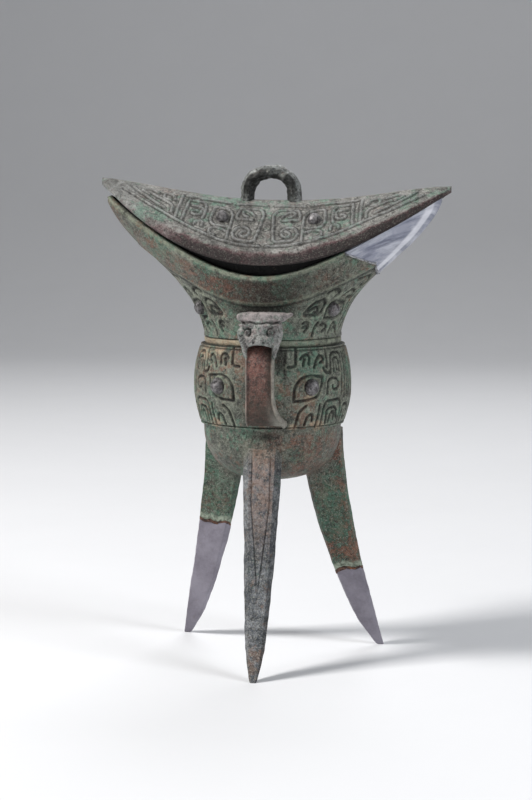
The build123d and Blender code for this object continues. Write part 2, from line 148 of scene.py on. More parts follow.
# Its features: places sideways and below its top, and the distances where each begins and ends
HEAD_FRONT = (46, 47.5)
BROW_DROP = 4.5
BROW_WAVE = 0.25
BROW_PITCH = 1.3
BROW_WIDTH = 0.8
HEAD_EYE_SIDE = 5.05
HEAD_EYE_DROP = 8.5
SOCKET_INNER = (1.0, 1.4)
SOCKET_OUTER = (1.7, 2.1)
SOCKET_DARK = 0.75
PUPIL = (0.6, 1.1)
NOSTRIL_SIDE = 2.2
NOSTRIL_DROP = 12.9
NOSTRIL = (0.3, 0.9)
MOUTH_CURVE = 0.06
MOUTH_TOP = (13.9, 14.8)
MOUTH_SIDE = (4.6, 5.4)
MOUTH_FRONT = (38, 40)
MOUTH_DEPTH = 4.0
WHISKER_PITCH = 1.5
WHISKER_LEAN = 0.9
WHISKER_WIDTH = 0.6
WHISKER_SIDE = (1.5, 2.5)
WHISKER_TOP = (10.6, 11.2)
WHISKER_END = (13.4, 14)
WHISKER_DARK = 0.5
WHISKER_DEPTH = 0.25
FEATURE_DEPTH = 0.5
HEAD_VOXEL = 0.32
HEAD_SOFTNESS = 0.5
HEAD_SOFTENING = 4

# The legs
FRONT_LEG_TURN = 0.4
LEFT_LEG_TURN = 235.6
RIGHT_LEG_TURN = 116.7
FRONT_FOOT_REACH = 55.5
LEFT_FOOT_REACH = 58.6
RIGHT_FOOT_REACH = 55.0
LEFT_LEG_LEAN = 5.3
LEG_TOP_DROP = 3.3
LEG_PROUD = 0.6
LEG_WIDTH = 18.4
LEG_DEPTH = 19.0
LEG_SINK = 2.8
LEG_SINK_REACH = 16.0
LEG_ROOT_DEPTH = 0.9
LEG_ROOT_LEAST = 4.0
FOOT_WIDTH = 2.6
FOOT_DEPTH = 2.6
FOOT_SLIMNESS = 0.6
FOOT_SLIM_HEIGHT = 14.0
FOOT_SMOOTH_HEIGHT = 8.0
LEG_SPLAY_CURVE = 1.6
BLADE_TAPER = 0.48
BEVEL = 0.17
EDGE_FLAT = 0.12
LEG_LINE_WIDTH = 0.7
LEG_LINE_DEPTH = 0.4
LEG_LINE_GAP = 4.1
LEG_LINE_KNEE = 76.0
LEG_LINE_END = 36.0
LEG_LINE_FADE = (-8, 14)
LEG_LINE_TOP = (6, 12)
LEG_EDGE_LINE = 0.88
LEG_EDGE_LINE_DEPTH = 0.35
PANEL_FADE = (44, 84)
PANEL_RISE = 0.15
PANEL_TINT = 0.3
PANEL_EDGE = (-0.3, 0.3)
PANEL_RIGHT_TINT = 0.5
PANEL_RIGHT = (0.3, 0.6)
LEFT_BREAK_HEIGHT = 56.0
LEFT_BREAK_SLANT = 0.4
RIGHT_BREAK_HEIGHT = 37.0
RIGHT_BREAK_SLANT = -0.3
FILLER_SHOWN = 0.8
FILLER_LAP = 0.3
FILLER_PROUD = 0.12

# The lid
LID_OVERHANG = 1.3
LID_END_OVERHANG = 2.5
LID_GAP_MIDDLE = 7.6
LID_CURVE = 60.0
LID_EDGE_RISE = 0.85
ROOF_HEIGHT = 26.0
ROOF_END = 1.0
ROOF_FALL = 1.75
RIDGE_ROUND = 0.3
RIDGE_RISE = (0.2, 0.1)
EDGE_ROLL = 1.6
EDGE_ROLL_START = 0.88
TIP_SHARPNESS = 10
TIP_DROP = 0.8
TIP_TUCK = 0.02
SKIRT_MIDDLE = 4.0
SKIRT_END = 2.3
SKIRT_LIFT = 2.0
SKIRT_LIFT_REACH = 30.0
SKIRT_BULGE = 0.5
LID_WALL = 2.6
LID_ROOF_WALL = 3.4
LID_LIP = 0.2
LID_WELD = 0.002
CAVITY_TIP_TURN = 15.0
LID_TILT = 1.35
SEAT_GAP = 0.35
LOOP_X = -1.4
LOOP_HALF_WIDTH = 14.0
LOOP_HEIGHT = 16.2
LOOP_BAR = 6.4
LOOP_BAR_DEPTH = 6.8
LOOP_FLATNESS = 0.85
LOOP_HOLLOW = 1.3
LOOP_FACE = (0.75, 0.95)
LOOP_HOLLOW_RISE = (2, 6)
LOOP_HOLLOW_LENGTH = 7
LOOP_HOLLOW_BREAKS = (-0.7, 0.3)

# The eyes of the masks
EYE_RADIUS = 2.8
EYE_WIDTH = 1.06
EYE_OVAL = 1.1
EYE_FULLNESS = 0.75
EYE_TOP = 0.98
EYE_HEIGHT = 1.2
EYE_SINK = 0.35
BELLY_EYE_RADIUS = 3.4
BELLY_EYE_SPREAD = 35.7
BELLY_EYE_HEIGHT = 19.0
NECK_EYE_SPREAD = 57.4
NECK_EYE_HEIGHT = 13.0
LID_EYE_X = 20.8
LID_EYE_SIDE = 0.47
LID_EYE_GAP = 0.2

# Small steps that show which way a surface faces
STEP_UP = 0.5
STEP_ALONG = 0.1
STEP_SHARE = 0.01

# Heights and radii that follow
BAND_Z = BOWL_CLEARANCE + BOWL_DEPTH
WAIST_Z = BAND_Z + BAND_HEIGHT
NECK_Z = WAIST_Z + WAIST_HEIGHT
RIM_Z = NECK_Z + NECK_HEIGHT
TIP_Z = RIM_Z + RIM_RISE
BAND_EDGE_RADIUS = BOWL_RADIUS + BAND_PROUD
BAND_RADIUS = BAND_EDGE_RADIUS + BAND_BULGE
WAIST_RADIUS = BAND_EDGE_RADIUS - WAIST_INSET
NECK_ROOT_RADIUS = WAIST_RADIUS - NECK_ROOT_INSET
LEG_TOP_Z = BAND_Z - LEG_TOP_DROP
LID_EDGE_Z = RIM_Z + LID_GAP_MIDDLE
LID_HALF_LENGTH = MOUTH_HALF_LENGTH + LID_END_OVERHANG
LID_HALF_WIDTH = MOUTH_HALF_WIDTH + LID_OVERHANG
CREST_Z = LID_EDGE_Z + ROOF_HEIGHT
STRAP_OUT = BAND_RADIUS + FINGER_GAP + STRAP_THICKNESS / 2
HEAD_Z = NECK_Z - HEAD_DROP
HEAD_TOP_Z = HEAD_Z + HEAD_HEIGHT
STRAP_TOP_Z = HEAD_Z + STRAP_THICKNESS / 2 + STRAP_TOP_DROP * HEAD_HEIGHT / 3
STRAP_FOOT_Z = BAND_Z + STRAP_THICKNESS / 2

# Fineness of the meshes: points round, and rows up or along
CUP_COLUMNS = 620
BOWL_ROWS = 20
BAND_ROWS = 106
HOLLOW_ROWS = 12
NECK_COLUMNS = 640
NECK_ROWS = 74
SEAM_COLUMNS = 10
SEAM_RIM_ROWS = 22
SEAM_END_ROWS = 40
EYE_COLUMNS = 40
EYE_ROWS = 14
LID_COLUMNS = 700
LID_ROWS = 92
LID_CROWDING = 0.17
SKIRT_ROWS = 8
UNDERSIDE_ROWS = 20
LOOP_COLUMNS = 40
LOOP_POST_ROWS = 8
LOOP_BEND_ROWS = 60
STRAP_COLUMNS = 96
STRAP_ROWS = 58
STRAP_BEND_ROWS = 22
STRAP_ARM_ROWS = 7
HEAD_BALL_FINENESS = 4
HEAD_CHAIN = 6
LEG_SIDE_POINTS = (56, 8, 26, 6, 26, 8)
LEG_ROW_HEIGHT = 0.6
LEG_ROWS_LEAST = 6
LEG_TOP_TRIES = 160
SEAT_TRIES = 81
SETTLING_STEPS = 60
SETTLING_PACE = 0.3

# Waves of the hand-worked surfaces, a broad one and a fine one: height and length of each
CUP_WAVES = ((0.16, 26), (0.07, 7))
NECK_WAVES = ((0.18, 30), (0.07, 8))
LID_WAVES = ((0.2, 28), (0.06, 6))
LOOP_WAVES = ((0.3, 9), (0.26, 3))
STRAP_WAVES = ((0.14, 10), (0.06, 3))
HEAD_WAVES = ((0.14, 5), (0.06, 2))
LEG_WAVES = ((0.2, 22), (0.1, 5))
BREAK_WAVES = ((0.7, 7), (0.35, 2.5))
MEND_WAVES = ((0.12, 34),)
MEND_STREAKS = ((0.1, 9),)
MEND_STREAK_RUN = (0.4, 1, 1)
EYE_WAVES = ((0.1, 4),)
LID_PITS = ((0.12, 3.4),)
WAVES_SUMMED = 14
WAVE_PITCH = (0.6, 1.6)
WAVE_LEVEL = 5

# Seeds of those waves
CUP_SEED = 1
NECK_SEED = 3
BREAK_SEED = 5
STREAK_SEED = 6
MEND_SEED = 7
SEAM_SEED = 11
SEAM_LUMP_SEED = 14
EYE_SEED = 21
LID_PIT_SEED = 31
LID_SEED = 32
LOOP_SEED = 41
LOOP_HOLLOW_SEED = 43
STRAP_SEED = 51
HEAD_SEED = 61
FRONT_LEG_SEED = 71
LEFT_LEG_SEED = 81
RIGHT_LEG_SEED = 91
TIP_SEED_STEP = 5

# Relief: widths, depths and fades of the cast lines
GROOVE_WIDTH = 1.2
NECK_GROOVE_WIDTH = 1.3
GROOVE_DEPTH = 0.85
GROOVE_LIP = 0.8
LINE_CORE = 0.3
LINE_SHOULDER = 0.66
THREAD_WIDTH = 1.05
THREAD_HEIGHT = 0.6
# How far from a thread's middle its dark line of painted shadow runs
THREAD_OUTLINE = 0.84
CORNER_CUT = 0.9
CORNER_SHARE = 0.4
FIELD_SINK = 0.5
FIELD_EDGE = 1.5
FIELD_ROOT = (0.4, 1.6)
EYE_CLEARING = 1.0
EYE_RING_GAP = 0.9
EYE_RING_WIDTH = 1.0
EYE_RING_HEIGHT = 0.25
BAND_LINE_INSET = 0.9
BAND_LINE_WIDTH = 0.72
BAND_LINE_DEPTH = 0.7
RIM_LINE_INSET = 0.9
RIM_LINE_WIDTH = 1.3
RIM_LINE_HEIGHT = 0.25
RIM_LINE_PALE = 0.7
# A dark line of painted shadow just under the rim's line: its drop, width and darkness
UNDER_LINE_DROP = 0.5
UNDER_LINE_WIDTH = 1.0
UNDER_LINE_SHADE = 0.7
NECK_CHART_STRETCH = 1.15
LID_FIELD_SINK = 0.3
LID_BORDER = (0.83, 0.86)
LID_CREST = (1.5, 4)
LID_PLAIN_HEIGHT = 0.9

# The waist's profile from its foot up: share of its height, step from its radius, and darkness, painted
# shade in the creases at its edges
WAIST_PROFILE = [
    (0.03, 0.5, 1), (0.1, -1.2, 1), (0.2, -0.8, 0.3), (0.34, -0.55, 0), (0.55, -0.5, 0),
    (0.76, -0.55, 0), (0.88, -0.8, 0.3), (0.95, -1.3, 1), (1.0, -1.4, 1),
]
WAIST_HOLLOW_ROWS = 2

# Weathering of the lower cup: where ochre earth, pale dust and rust begin and are full
FRONT_FADE = (0, 8)
LEFT_FADE = (2, 8)
OCHRE_STRIP = (0.4, 1.0)
OCHRE_RIGHT = 0.1
RIDGE_DUST = 0.6
WAIST_DUST = 0.5
WAIST_DUST_RIGHT = 0.4
BOWL_RUST = 0.5
BOWL_RUST_TOP = (0, 3)
BOWL_RUST_ALONG = (-22, 18)

# Spots of ochre earth on the front of the cup: place along X, height and size
EARTH_SPOTS = [
    (-27, 142, 4), (-19, 143, 3), (24, 110.5, 3), (14, 110, 2), (21, 123, 2.5), (-21, 111, 3),
]

# Painted shade with some dark patina on the front of the cup, the strap's shadow beside it and the shade
# under its foot: place along X, height, half width and half height
SHADE_AND_DARK_PATINA_SPOTS = [(8.6, 139.5, 2.2, 6), (11, 138, 0.8, 8), (0, 105.3, 6, 1.9)]

# Weathering and painted shade on the neck: places and reaches along X, and depths below the rim
RIM_RUST_X = -16
RIM_RUST_REACH = 24
RIM_RUST_LEAST = 0.2
RIM_RUST_TOP = (1.5, 4)
# Painted shade, with some dark patina, in the middle of the rim's band under the lid, and painted shadow on
# the neck above the ox head
RIM_SHADE_X = 4
RIM_SHADE_REACH = 24
RIM_SHADE_TOP = (0.6, 2.5)
RIM_SHADE_END = (-2, 4)
HEAD_SHADE = 1.7
HEAD_SHADE_REACH = 14
HEAD_SHADE_FRONT = (0, 10)
HEAD_SHADE_TOP = (-0.5, 0.5)
HEAD_SHADE_END = (3, 7)

# Colouring of the lid: its paler left end, and the brown edge, darker down the skirt, as shares of the way
# down
LID_PALE = 0.7
LID_PALE_END = (48, 70)
BROWN_HAZE = 0.35
BROWN_HAZE_FADE = (0.78, 0.9)
BROWN_EDGE_FADE = (0.87, 0.97)
SKIRT_BROWN = (1.0, 1.4)
BROWN_LEFT = 0.45
BROWN_LEFT_FADE = (-52, -26)
BROWN_TIP = 0.35
# Painted shade inside the lid's loop, and painted highlight along its outer face
LOOP_INSIDE = (0.1, 0.6)
LOOP_INSIDE_SHADE = 0.8
LOOP_HIGHLIGHT_EDGE = (0.3, 0.7)

# Weathering and painted shade of the handle: rubbed lips and horns, the dark of the strap's lower face, and
# painted shade beside its right lip
LEFT_LIP_PALE = 0.7
FOOT_PALE_SIDE = (0.2, 0.7)
STRAP_DARK_FOOT = 6
STRAP_DARK_TOP = 9
STRAP_SHADE = 0.8
STRAP_SHADE_SIDE = (0.25, 0.6)
HORN_PALE = (3.4, 4.4)

# Weathering of the legs: pale crust and rust above a break, and the plainer root under the bowl; painted
# shade on the front blade's right bevel
CRUST_FADE = (1.8, 3.6)
ROOT_FADE = (-12, -1.5)
JOINT_RUST_RISE = 9
JOINT_RUST_REACH = 5
EDGE_RUST = 0.5
EDGE_RUST_FADE = (0.7, 0.95)
ALL_OVER_RUST = 0.4
LEFT_LEG_RUST = 0.3
RIGHT_LEG_RUST = 0.9
FRONT_LEG_SHADE = 0.8
BEVEL_SHADE_DEPTH = 0.3

# The mask on the belly, one quarter of it: distance round from the handle, and height up the band
BELLY_STROKES = [
    [(11.4, 28.0), (14.9, 28.4), (15.6, 36.0)],
    [(17.6, 31.5), (19.7, 33.5), (22.5, 32.9), (21.5, 29.2)],
    [(24.2, 27.6), (26.0, 31.2), (28.8, 33.1), (30.6, 30.6), (27.8, 29.5)],
    [(31.6, 27.4), (32.6, 35.0)],
    [(33.5, 24.7), (34.8, 32.2), (37.0, 33.6), (42.5, 33.2), (42.2, 24.0)],
    [(36.0, 25.4), (36.8, 31.2), (40.4, 31.0), (40.2, 25.6)],
    [(38.2, 26.0), (38.6, 29.2)],
    [(18.6, 28.6), (19.4, 31.2)],
    [(29.4, 27.0), (30.2, 25.0), (33.5, 24.7)],
    [(13.7, 12.8), (14.2, 19.2), (17.2, 23.0), (21.5, 24.0), (28.6, 23.4)],
    [(28.6, 23.4), (26.8, 17.4), (25.2, 14.5), (20.4, 13.2), (13.7, 12.8)],
    [(31.4, 15.4), (31.7, 21.5), (34.7, 22.6), (38.9, 21.6), (39.0, 17.7), (35.2, 17.0), (34.8, 19.0)],
    [(45.2, 33.0), (45.2, 26.2), (44.4, 13.2)],
    [(49.6, 34.0), (50.0, 25.6), (49.2, 12.7)],
    [(15.0, 0.8), (16.5, 8.1), (19.8, 10.5)],
    [(20.0, 2.0), (21.0, 6.0), (23.6, 7.0), (23.9, 3.6)],
    [(26.3, 0.8), (27.2, 7.5), (27.3, 10.8)],
    [(32.2, 2.1), (31.8, 8.5), (37.8, 9.3), (39.5, 4.4)],
    [(34.2, 2.4), (34.6, 7.0), (37.0, 7.2), (37.4, 3.6)],
    [(41.4, 1.4), (41.6, 10.8), (40.2, 12.6), (31.0, 12.2), (29.6, 9.4), (29.4, 1.4)],
    [(43.4, 2.0), (43.8, 9.6), (48.8, 9.8), (49.0, 3.4), (46.0, 3.2), (46.2, 6.8)],
    [(53.6, 1.0), (53.4, 18.0), (53.6, 35.0)],
    [(41.8, 15.0), (42.2, 23.0)],
    [(47.2, 13.6), (47.6, 33.4)],
]

# The dragons on the neck, one quarter: turn from the front in degrees, and height above the neck's root
NECK_STROKES = [
    [(44.4, 17.6), (37.3, 16.1), (31.1, 10.8), (45.4, 10.7), (47.2, 15.9), (44.4, 17.6)],
    [(34.7, 12.4), (41.0, 14.8), (42.8, 12.5)],
    [(51.3, 9.4), (51.1, 14.6), (55.5, 16.7), (69.8, 15.3), (71.2, 10.1), (62.0, 8.8), (51.3, 9.4)],
    [(32.8, 7.0), (35.8, 8.2), (38.1, 5.9), (35.2, 3.4)],
    [(43.2, 1.6), (43.6, 5.2), (46.5, 7.3)],
    [(49.5, 6.0), (53.2, 7.1), (57.5, 4.8), (52.6, 3.3)],
    [(61.0, 2.2), (62.5, 6.2), (66.7, 7.0), (72.8, 2.0)],
    [(45.2, 20.4), (50.2, 22.2), (56.5, 20.2), (52.7, 19.0)],
    [(60.5, 18.6), (66.0, 21.6), (73.0, 20.4), (71.0, 17.8), (66.5, 18.2)],
    [(75.0, 6.0), (78.5, 10.5), (79.0, 17.0), (84.0, 19.0)],
    [(77.5, 3.0), (82.5, 6.5), (84.5, 12.5)],
    [(64.0, 26.0), (72.0, 27.5), (80.0, 26.0), (78.0, 23.0), (73.0, 23.4)],
    [(83.0, 30.0), (86.0, 37.0), (83.0, 42.0)],
    [(76.0, 31.0), (80.5, 35.0), (81.0, 40.0)],
    [(39.5, 11.9), (43.2, 11.8)],
    [(33.4, 5.4), (35.4, 6.0)],
    [(65.0, 3.6), (66.6, 5.2), (68.6, 4.0)],
    [(75.0, 13.0), (73.6, 17.0), (76.6, 21.0)],
]

# The mask on the lid, one quarter: distance along from the middle, and share of the way down its slope
LID_STROKES = [
    [(12.9, 0.29), (3.8, 0.29), (2.1, 0.37), (3.0, 0.56), (4.3, 0.75), (13.2, 0.75), (14.7, 0.67)],
    [
        (14.7, 0.67), (13.1, 0.58), (9.2, 0.56), (6.7, 0.63),
        (8.5, 0.70), (11.3, 0.70), (11.2, 0.64), (8.9, 0.62),
    ],
    [(12.9, 0.29), (14.2, 0.38), (14.2, 0.46), (6.9, 0.46)],
    [(6.2, 0.40), (8.7, 0.33), (11.7, 0.32), (11.6, 0.40), (9.4, 0.41)],
    [(16.9, 0.77), (16.1, 0.42), (17.9, 0.33), (24.8, 0.31), (26.0, 0.53), (24.5, 0.61), (17.3, 0.59)],
    [(17.8, 0.66), (21.2, 0.63), (25.2, 0.67), (25.3, 0.75), (22.5, 0.75)],
    [(29.4, 0.56), (28.6, 0.39), (29.8, 0.28), (35.5, 0.29)],
    [(35.0, 0.39), (29.9, 0.38), (30.9, 0.52), (34.5, 0.55), (34.7, 0.48), (32.5, 0.46)],
    [(37.0, 0.27), (38.4, 0.69)],
    [(28.9, 0.68), (28.8, 0.60), (32.3, 0.63), (32.6, 0.69)],
    [(40.8, 0.19), (41.5, 0.69)],
    [(43.6, 0.37), (45.1, 0.26), (48.9, 0.26), (49.0, 0.40), (45.7, 0.41)],
    [(44.0, 0.64), (44.1, 0.49), (54.2, 0.38)],
    [(1.5, 0.81), (10.0, 0.81), (20.4, 0.795), (32.5, 0.76), (41.4, 0.725), (55.0, 0.66), (68.0, 0.54)],
    [(18.5, 0.21), (25.1, 0.19), (38.6, 0.21)],
    [(2.0, 0.21), (8.0, 0.20), (15.5, 0.22)],
    [(51.8, 0.30), (56.5, 0.24), (60.0, 0.34), (56.0, 0.42)],
    [(47.5, 0.60), (53.0, 0.55), (60.0, 0.44), (65.0, 0.28)],
]


# Forms shared with the solids

def saddle(x, curve):
    """Rise of a curve that is flat in the middle and straightens towards its ends."""
    return np.hypot(x, curve) - curve


def rim_height(x):
    return RIM_Z + RIM_RISE * saddle(x, RIM_CURVE) / saddle(MOUTH_HALF_LENGTH, RIM_CURVE)


def flare_opening(share):
    """How far the neck's side has swung out at a share of its height, before scaling."""
    lean = share - FLARE_START
    return lean + np.hypot(lean, FLARE_SOFTNESS)


def flare(z):
    """How far the neck has opened at a height."""
    share = (z - NECK_Z) / (TIP_Z - NECK_Z)
    opened = (flare_opening(share) - flare_opening(0)) / (flare_opening(1) - flare_opening(0))
    return opened * (1 + FLARE_FULLNESS * (1 - opened))


def mouth_outline(half_length, half_width, roundness, turn):
    """Places on a pointed oval, at turns in radians from its +X end."""
    side = np.sin(turn)
    return half_length * np.cos(turn), half_width * side * (roundness + (1 - roundness) * np.abs(side))


def neck_places(z, turn):
    opened = flare(z)
    half_length = NECK_ROOT_RADIUS + (MOUTH_HALF_LENGTH - NECK_ROOT_RADIUS) * opened
    half_width = NECK_ROOT_RADIUS + (MOUTH_HALF_WIDTH - NECK_ROOT_RADIUS) * opened / flare(RIM_Z)
    roundness = 1 - (1 - MOUTH_END_ROUNDNESS) * opened
    return mouth_outline(half_length, half_width, roundness, turn)


def bowl_radius_at(z):
    """Radius of the squarish round bowl at a height."""
    down = np.clip(1 - (z - BOWL_CLEARANCE) / BOWL_DEPTH, 0, 1)
    return BOWL_RADIUS * (1 - down ** BOWL_SQUARENESS) ** (1 / BOWL_SQUARENESS)


def band_radius_at(z, edge, middle):
    """Radius of the belly band: an arc through its two edges and its middle."""
    half = (WAIST_Z - BAND_Z) / 2
    bulge = middle - edge
    arc = (half ** 2 + bulge ** 2) / (2 * bulge)
    return middle - arc + np.sqrt(arc ** 2 - (z - (BAND_Z + WAIST_Z) / 2) ** 2)


def coordinates(points):
    """The x, y and z of points, as three arrays."""
    return np.moveaxis(np.asarray(points, float), -1, 0)


def facing(turn, points):
    """Points drawn towards -Y, turned round the cup's axis by degrees."""
    angle = radians(turn)
    x, y, z = coordinates(points)
    return np.stack([x * cos(angle) - y * sin(angle), x * sin(angle) + y * cos(angle), z], axis=-1)


def lid_edge_height(x):
    return LID_EDGE_Z + LID_EDGE_RISE * saddle(x, LID_CURVE)


def lid_roof_height(x):
    return ROOF_END + (ROOF_HEIGHT - ROOF_END) * (1 - (np.abs(x) / LID_HALF_LENGTH) ** ROOF_FALL)


def lid_skirt_bottom(x):
    """The skirt's lower edge, a little higher in the middle than the rim below it."""
    skirt = SKIRT_MIDDLE - (SKIRT_MIDDLE - SKIRT_END) * (x / LID_HALF_LENGTH) ** 2
    return lid_edge_height(x) - skirt + SKIRT_LIFT * bell(x, SKIRT_LIFT_REACH)


def roof_fall(side):
    return (np.hypot(side, RIDGE_ROUND) - RIDGE_ROUND) / (hypot(1, RIDGE_ROUND) - RIDGE_ROUND)


def lid_half_width(x):
    side = np.sqrt(np.clip(1 - (x / LID_HALF_LENGTH) ** 2, 0, 1))
    return LID_HALF_WIDTH * side * (MOUTH_END_ROUNDNESS + (1 - MOUTH_END_ROUNDNESS) * side)


def lid_slope(x):
    """Length of the way down the roof, from its ridge to its edge."""
    return np.hypot(lid_half_width(x), lid_roof_height(x))


def lid_tip(x):
    """1 at the two points of the lid, and 0 over most of its length."""
    return (np.abs(x) / LID_HALF_LENGTH) ** TIP_SHARPNESS


def seated(points):
    """Lid points as the lid rests on the cup: tipped along the length with its -X end up."""
    lean = radians(LID_TILT)
    along = np.linspace(-MOUTH_HALF_LENGTH, MOUTH_HALF_LENGTH, SEAT_TRIES)
    lift = np.max(rim_height(along) + SEAT_GAP - lid_skirt_bottom(along) + along * tan(lean))
    x, y, z = coordinates(points)
    up = z - LID_EDGE_Z
    tipped_x = x * cos(lean) + up * sin(lean)
    tipped_z = up * cos(lean) - x * sin(lean) + LID_EDGE_Z + lift
    return np.stack([tipped_x, y, tipped_z], axis=-1)


# Relief

def full_circle(count):
    """Even turns round a circle, in radians."""
    return np.linspace(0, 2 * pi, count, endpoint=False)


def quarter_turns(turn, middle=0.0):
    """Degrees from the nearer of the front and the back, at turns in radians; middle turns the front."""
    from_front = (np.degrees(turn) + 90 - middle + 180) % 360 - 180
    return np.minimum(np.abs(from_front), 180 - np.abs(from_front))


def unit(vectors):
    """Vectors scaled to a length of 1."""
    return vectors / np.linalg.norm(vectors, axis=-1, keepdims=True)


def bell(distance, reach):
    """1 in the middle, falling smoothly to about a third at the reach."""
    return np.exp(-(distance / reach) ** 2)


def ease(value, low, high):
    """0 below one value, 1 above another, and a smooth step between."""
    share = np.clip((value - low) / (high - low), 0, 1)
    return share * share * (3 - 2 * share)


def bend_corners(stroke):
    """A stroke with its corners cut a little, so that it bends as a modelled line does."""
    line = [np.array(place, float) for place in stroke]
    bent = [line[0]]
    for before, corner, after in zip(line, line[1:], line[2:]):
        for neighbour in (before, after):
            gap = neighbour - corner
            bent.append(corner + gap * min(CORNER_CUT / np.linalg.norm(gap), CORNER_SHARE))
    return np.array(bent + [line[-1]])


def distance_to(strokes, across, up):
    """Distance from each place of a chart to the nearest of some strokes."""
    nearest = np.full(across.shape, np.inf)
    for stroke in strokes:
        line = bend_corners(stroke)
        for start, end in zip(line[:-1], line[1:]):
            along = end - start
            share = ((across - start[0]) * along[0] + (up - start[1]) * along[1]) / (along @ along)
            share = np.clip(share, 0, 1)
            gap = np.hypot(across - start[0] - share * along[0], up - start[1] - share * along[1])
            nearest = np.minimum(nearest, gap)
    return nearest


def line_mask(distance, width):
    """1 along a line's middle and 0 away from it, with soft shoulders."""
    return 1 - ease(distance, width * LINE_CORE, width * LINE_SHOULDER)


def unevenness(points, length, seed):
    """Smooth waves of about the given length, between -1 and 1."""
    draw = np.random.default_rng(seed)
    total = np.zeros(points.shape[:-1])
    for _ in range(WAVES_SUMMED):
        heading = draw.normal(size=3)
        heading *= draw.uniform(*WAVE_PITCH) / np.linalg.norm(heading)
        total += np.sin(points @ heading * (2 * pi / length) + draw.uniform(0, 2 * pi))
    return np.clip(total / WAVE_LEVEL, -1, 1)


def hand_worked(points, waves, seed):
    """The waves of a hand-worked surface, each given as its height and length."""
    return sum(
        height * unevenness(points, length, seed + number) for number, (height, length) in enumerate(waves)
    )


# Making meshes

def put_in_scene(name, data):
    """A new object for a mesh, a lamp or a camera."""
    placed = bpy.data.objects.new(name, data)
    bpy.context.collection.objects.link(placed)
    return placed


def grid_faces(rows, columns, wrap):
    """Corner numbers of a grid's quads, closed round its columns where wrap is set."""
    row, column = np.meshgrid(np.arange(rows - 1), np.arange(columns - (not wrap)), indexing="ij")
    beside = (column + 1) % columns
    here = row * columns
    beyond = here + columns
    corners = [here + column, here + beside, beyond + beside, beyond + column]
    return np.stack(corners, axis=-1).reshape(-1, 4)


def capped_faces(rows, columns, start=0):
    """Faces of a ring-shaped grid, with its first and last rows filled in."""
    faces = (grid_faces(rows, columns, True) + start).tolist()
    faces.append(list(range(start, start + columns)))
    faces.append(list(range(start + (rows - 1) * columns, start + rows * columns)))
    return faces


def mark_points(mesh, marks):
    """Keeps named numbers on a mesh's points for its finish, and shades it smooth."""
    for mark, values in marks.items():
        store = mesh.attributes.new(mark, "FLOAT", "POINT")
        store.data.foreach_set("value", np.asarray(values, float).ravel())
    mesh.polygons.foreach_set("use_smooth", [True] * len(mesh.polygons))


def make_piece(name, points, faces, marks):
    """A smooth mesh piece from points in millimetres, with named numbers on its points."""
    mesh = bpy.data.meshes.new(name)
    mesh.from_pydata((points.reshape(-1, 3) * MM).tolist(), [], faces)
    mark_points(mesh, marks)
    return put_in_scene(name, mesh)


def set_outward(piece, weld=0.0):
    """Joins points that coincide, and turns every face outward."""
    shape = bmesh.new()
    shape.from_mesh(piece.data)
    if weld:
        bmesh.ops.remove_doubles(shape, verts=shape.verts, dist=weld * MM)
    bmesh.ops.recalc_face_normals(shape, faces=shape.faces)
    shape.to_mesh(piece.data)
    shape.free()
    return piece


def closed_grid(name, grid, marks):
    """A piece from a ring-shaped grid of points, closed at both ends."""
    return set_outward(make_piece(name, grid, capped_faces(*grid.shape[:2]), marks))


def grid_normals(grid):
    """Unit normals of a grid whose columns go round."""
    around = np.roll(grid, -1, axis=1) - np.roll(grid, 1, axis=1)
    normal = np.cross(around, np.gradient(grid, axis=0))
    return normal / np.maximum(np.linalg.norm(normal, axis=-1, keepdims=True), LEAST_LENGTH)


def apply_modifiers(piece):
    """Bakes a piece's modifiers into its mesh."""
    evaluated = piece.evaluated_get(bpy.context.evaluated_depsgraph_get())
    mesh = bpy.data.meshes.new_from_object(evaluated)
    piece.modifiers.clear()
    piece.data = mesh
    return piece


# The round lower cup

def belly_mask(turn, band_z):
    """The mask on the belly band: its grooves, the rings round its eyes, and the lips of its grooves."""
    quarter = np.radians(quarter_turns(turn, HANDLE_TURN)) * BAND_RADIUS
    across, up = np.meshgrid(quarter, band_z - BAND_Z)
    groove_gap = distance_to(BELLY_STROKES, across, up)
    eye_gap = np.hypot(across - radians(BELLY_EYE_SPREAD) * BAND_RADIUS, up - BELLY_EYE_HEIGHT)
    grooves = line_mask(groove_gap, GROOVE_WIDTH)
    grooves *= ease(eye_gap, BELLY_EYE_RADIUS, BELLY_EYE_RADIUS + EYE_CLEARING)
    edge_gap = np.minimum(np.abs(up - BAND_LINE_INSET), np.abs(up - BAND_HEIGHT + BAND_LINE_INSET))
    grooves = np.maximum(grooves, BAND_LINE_DEPTH * line_mask(edge_gap, BAND_LINE_WIDTH))
    ring = line_mask(np.abs(eye_gap - BELLY_EYE_RADIUS - EYE_RING_GAP), EYE_RING_WIDTH)
    lip = line_mask(np.abs(groove_gap - GROOVE_WIDTH), GROOVE_LIP) * (1 - grooves)
    return grooves, ring, lip


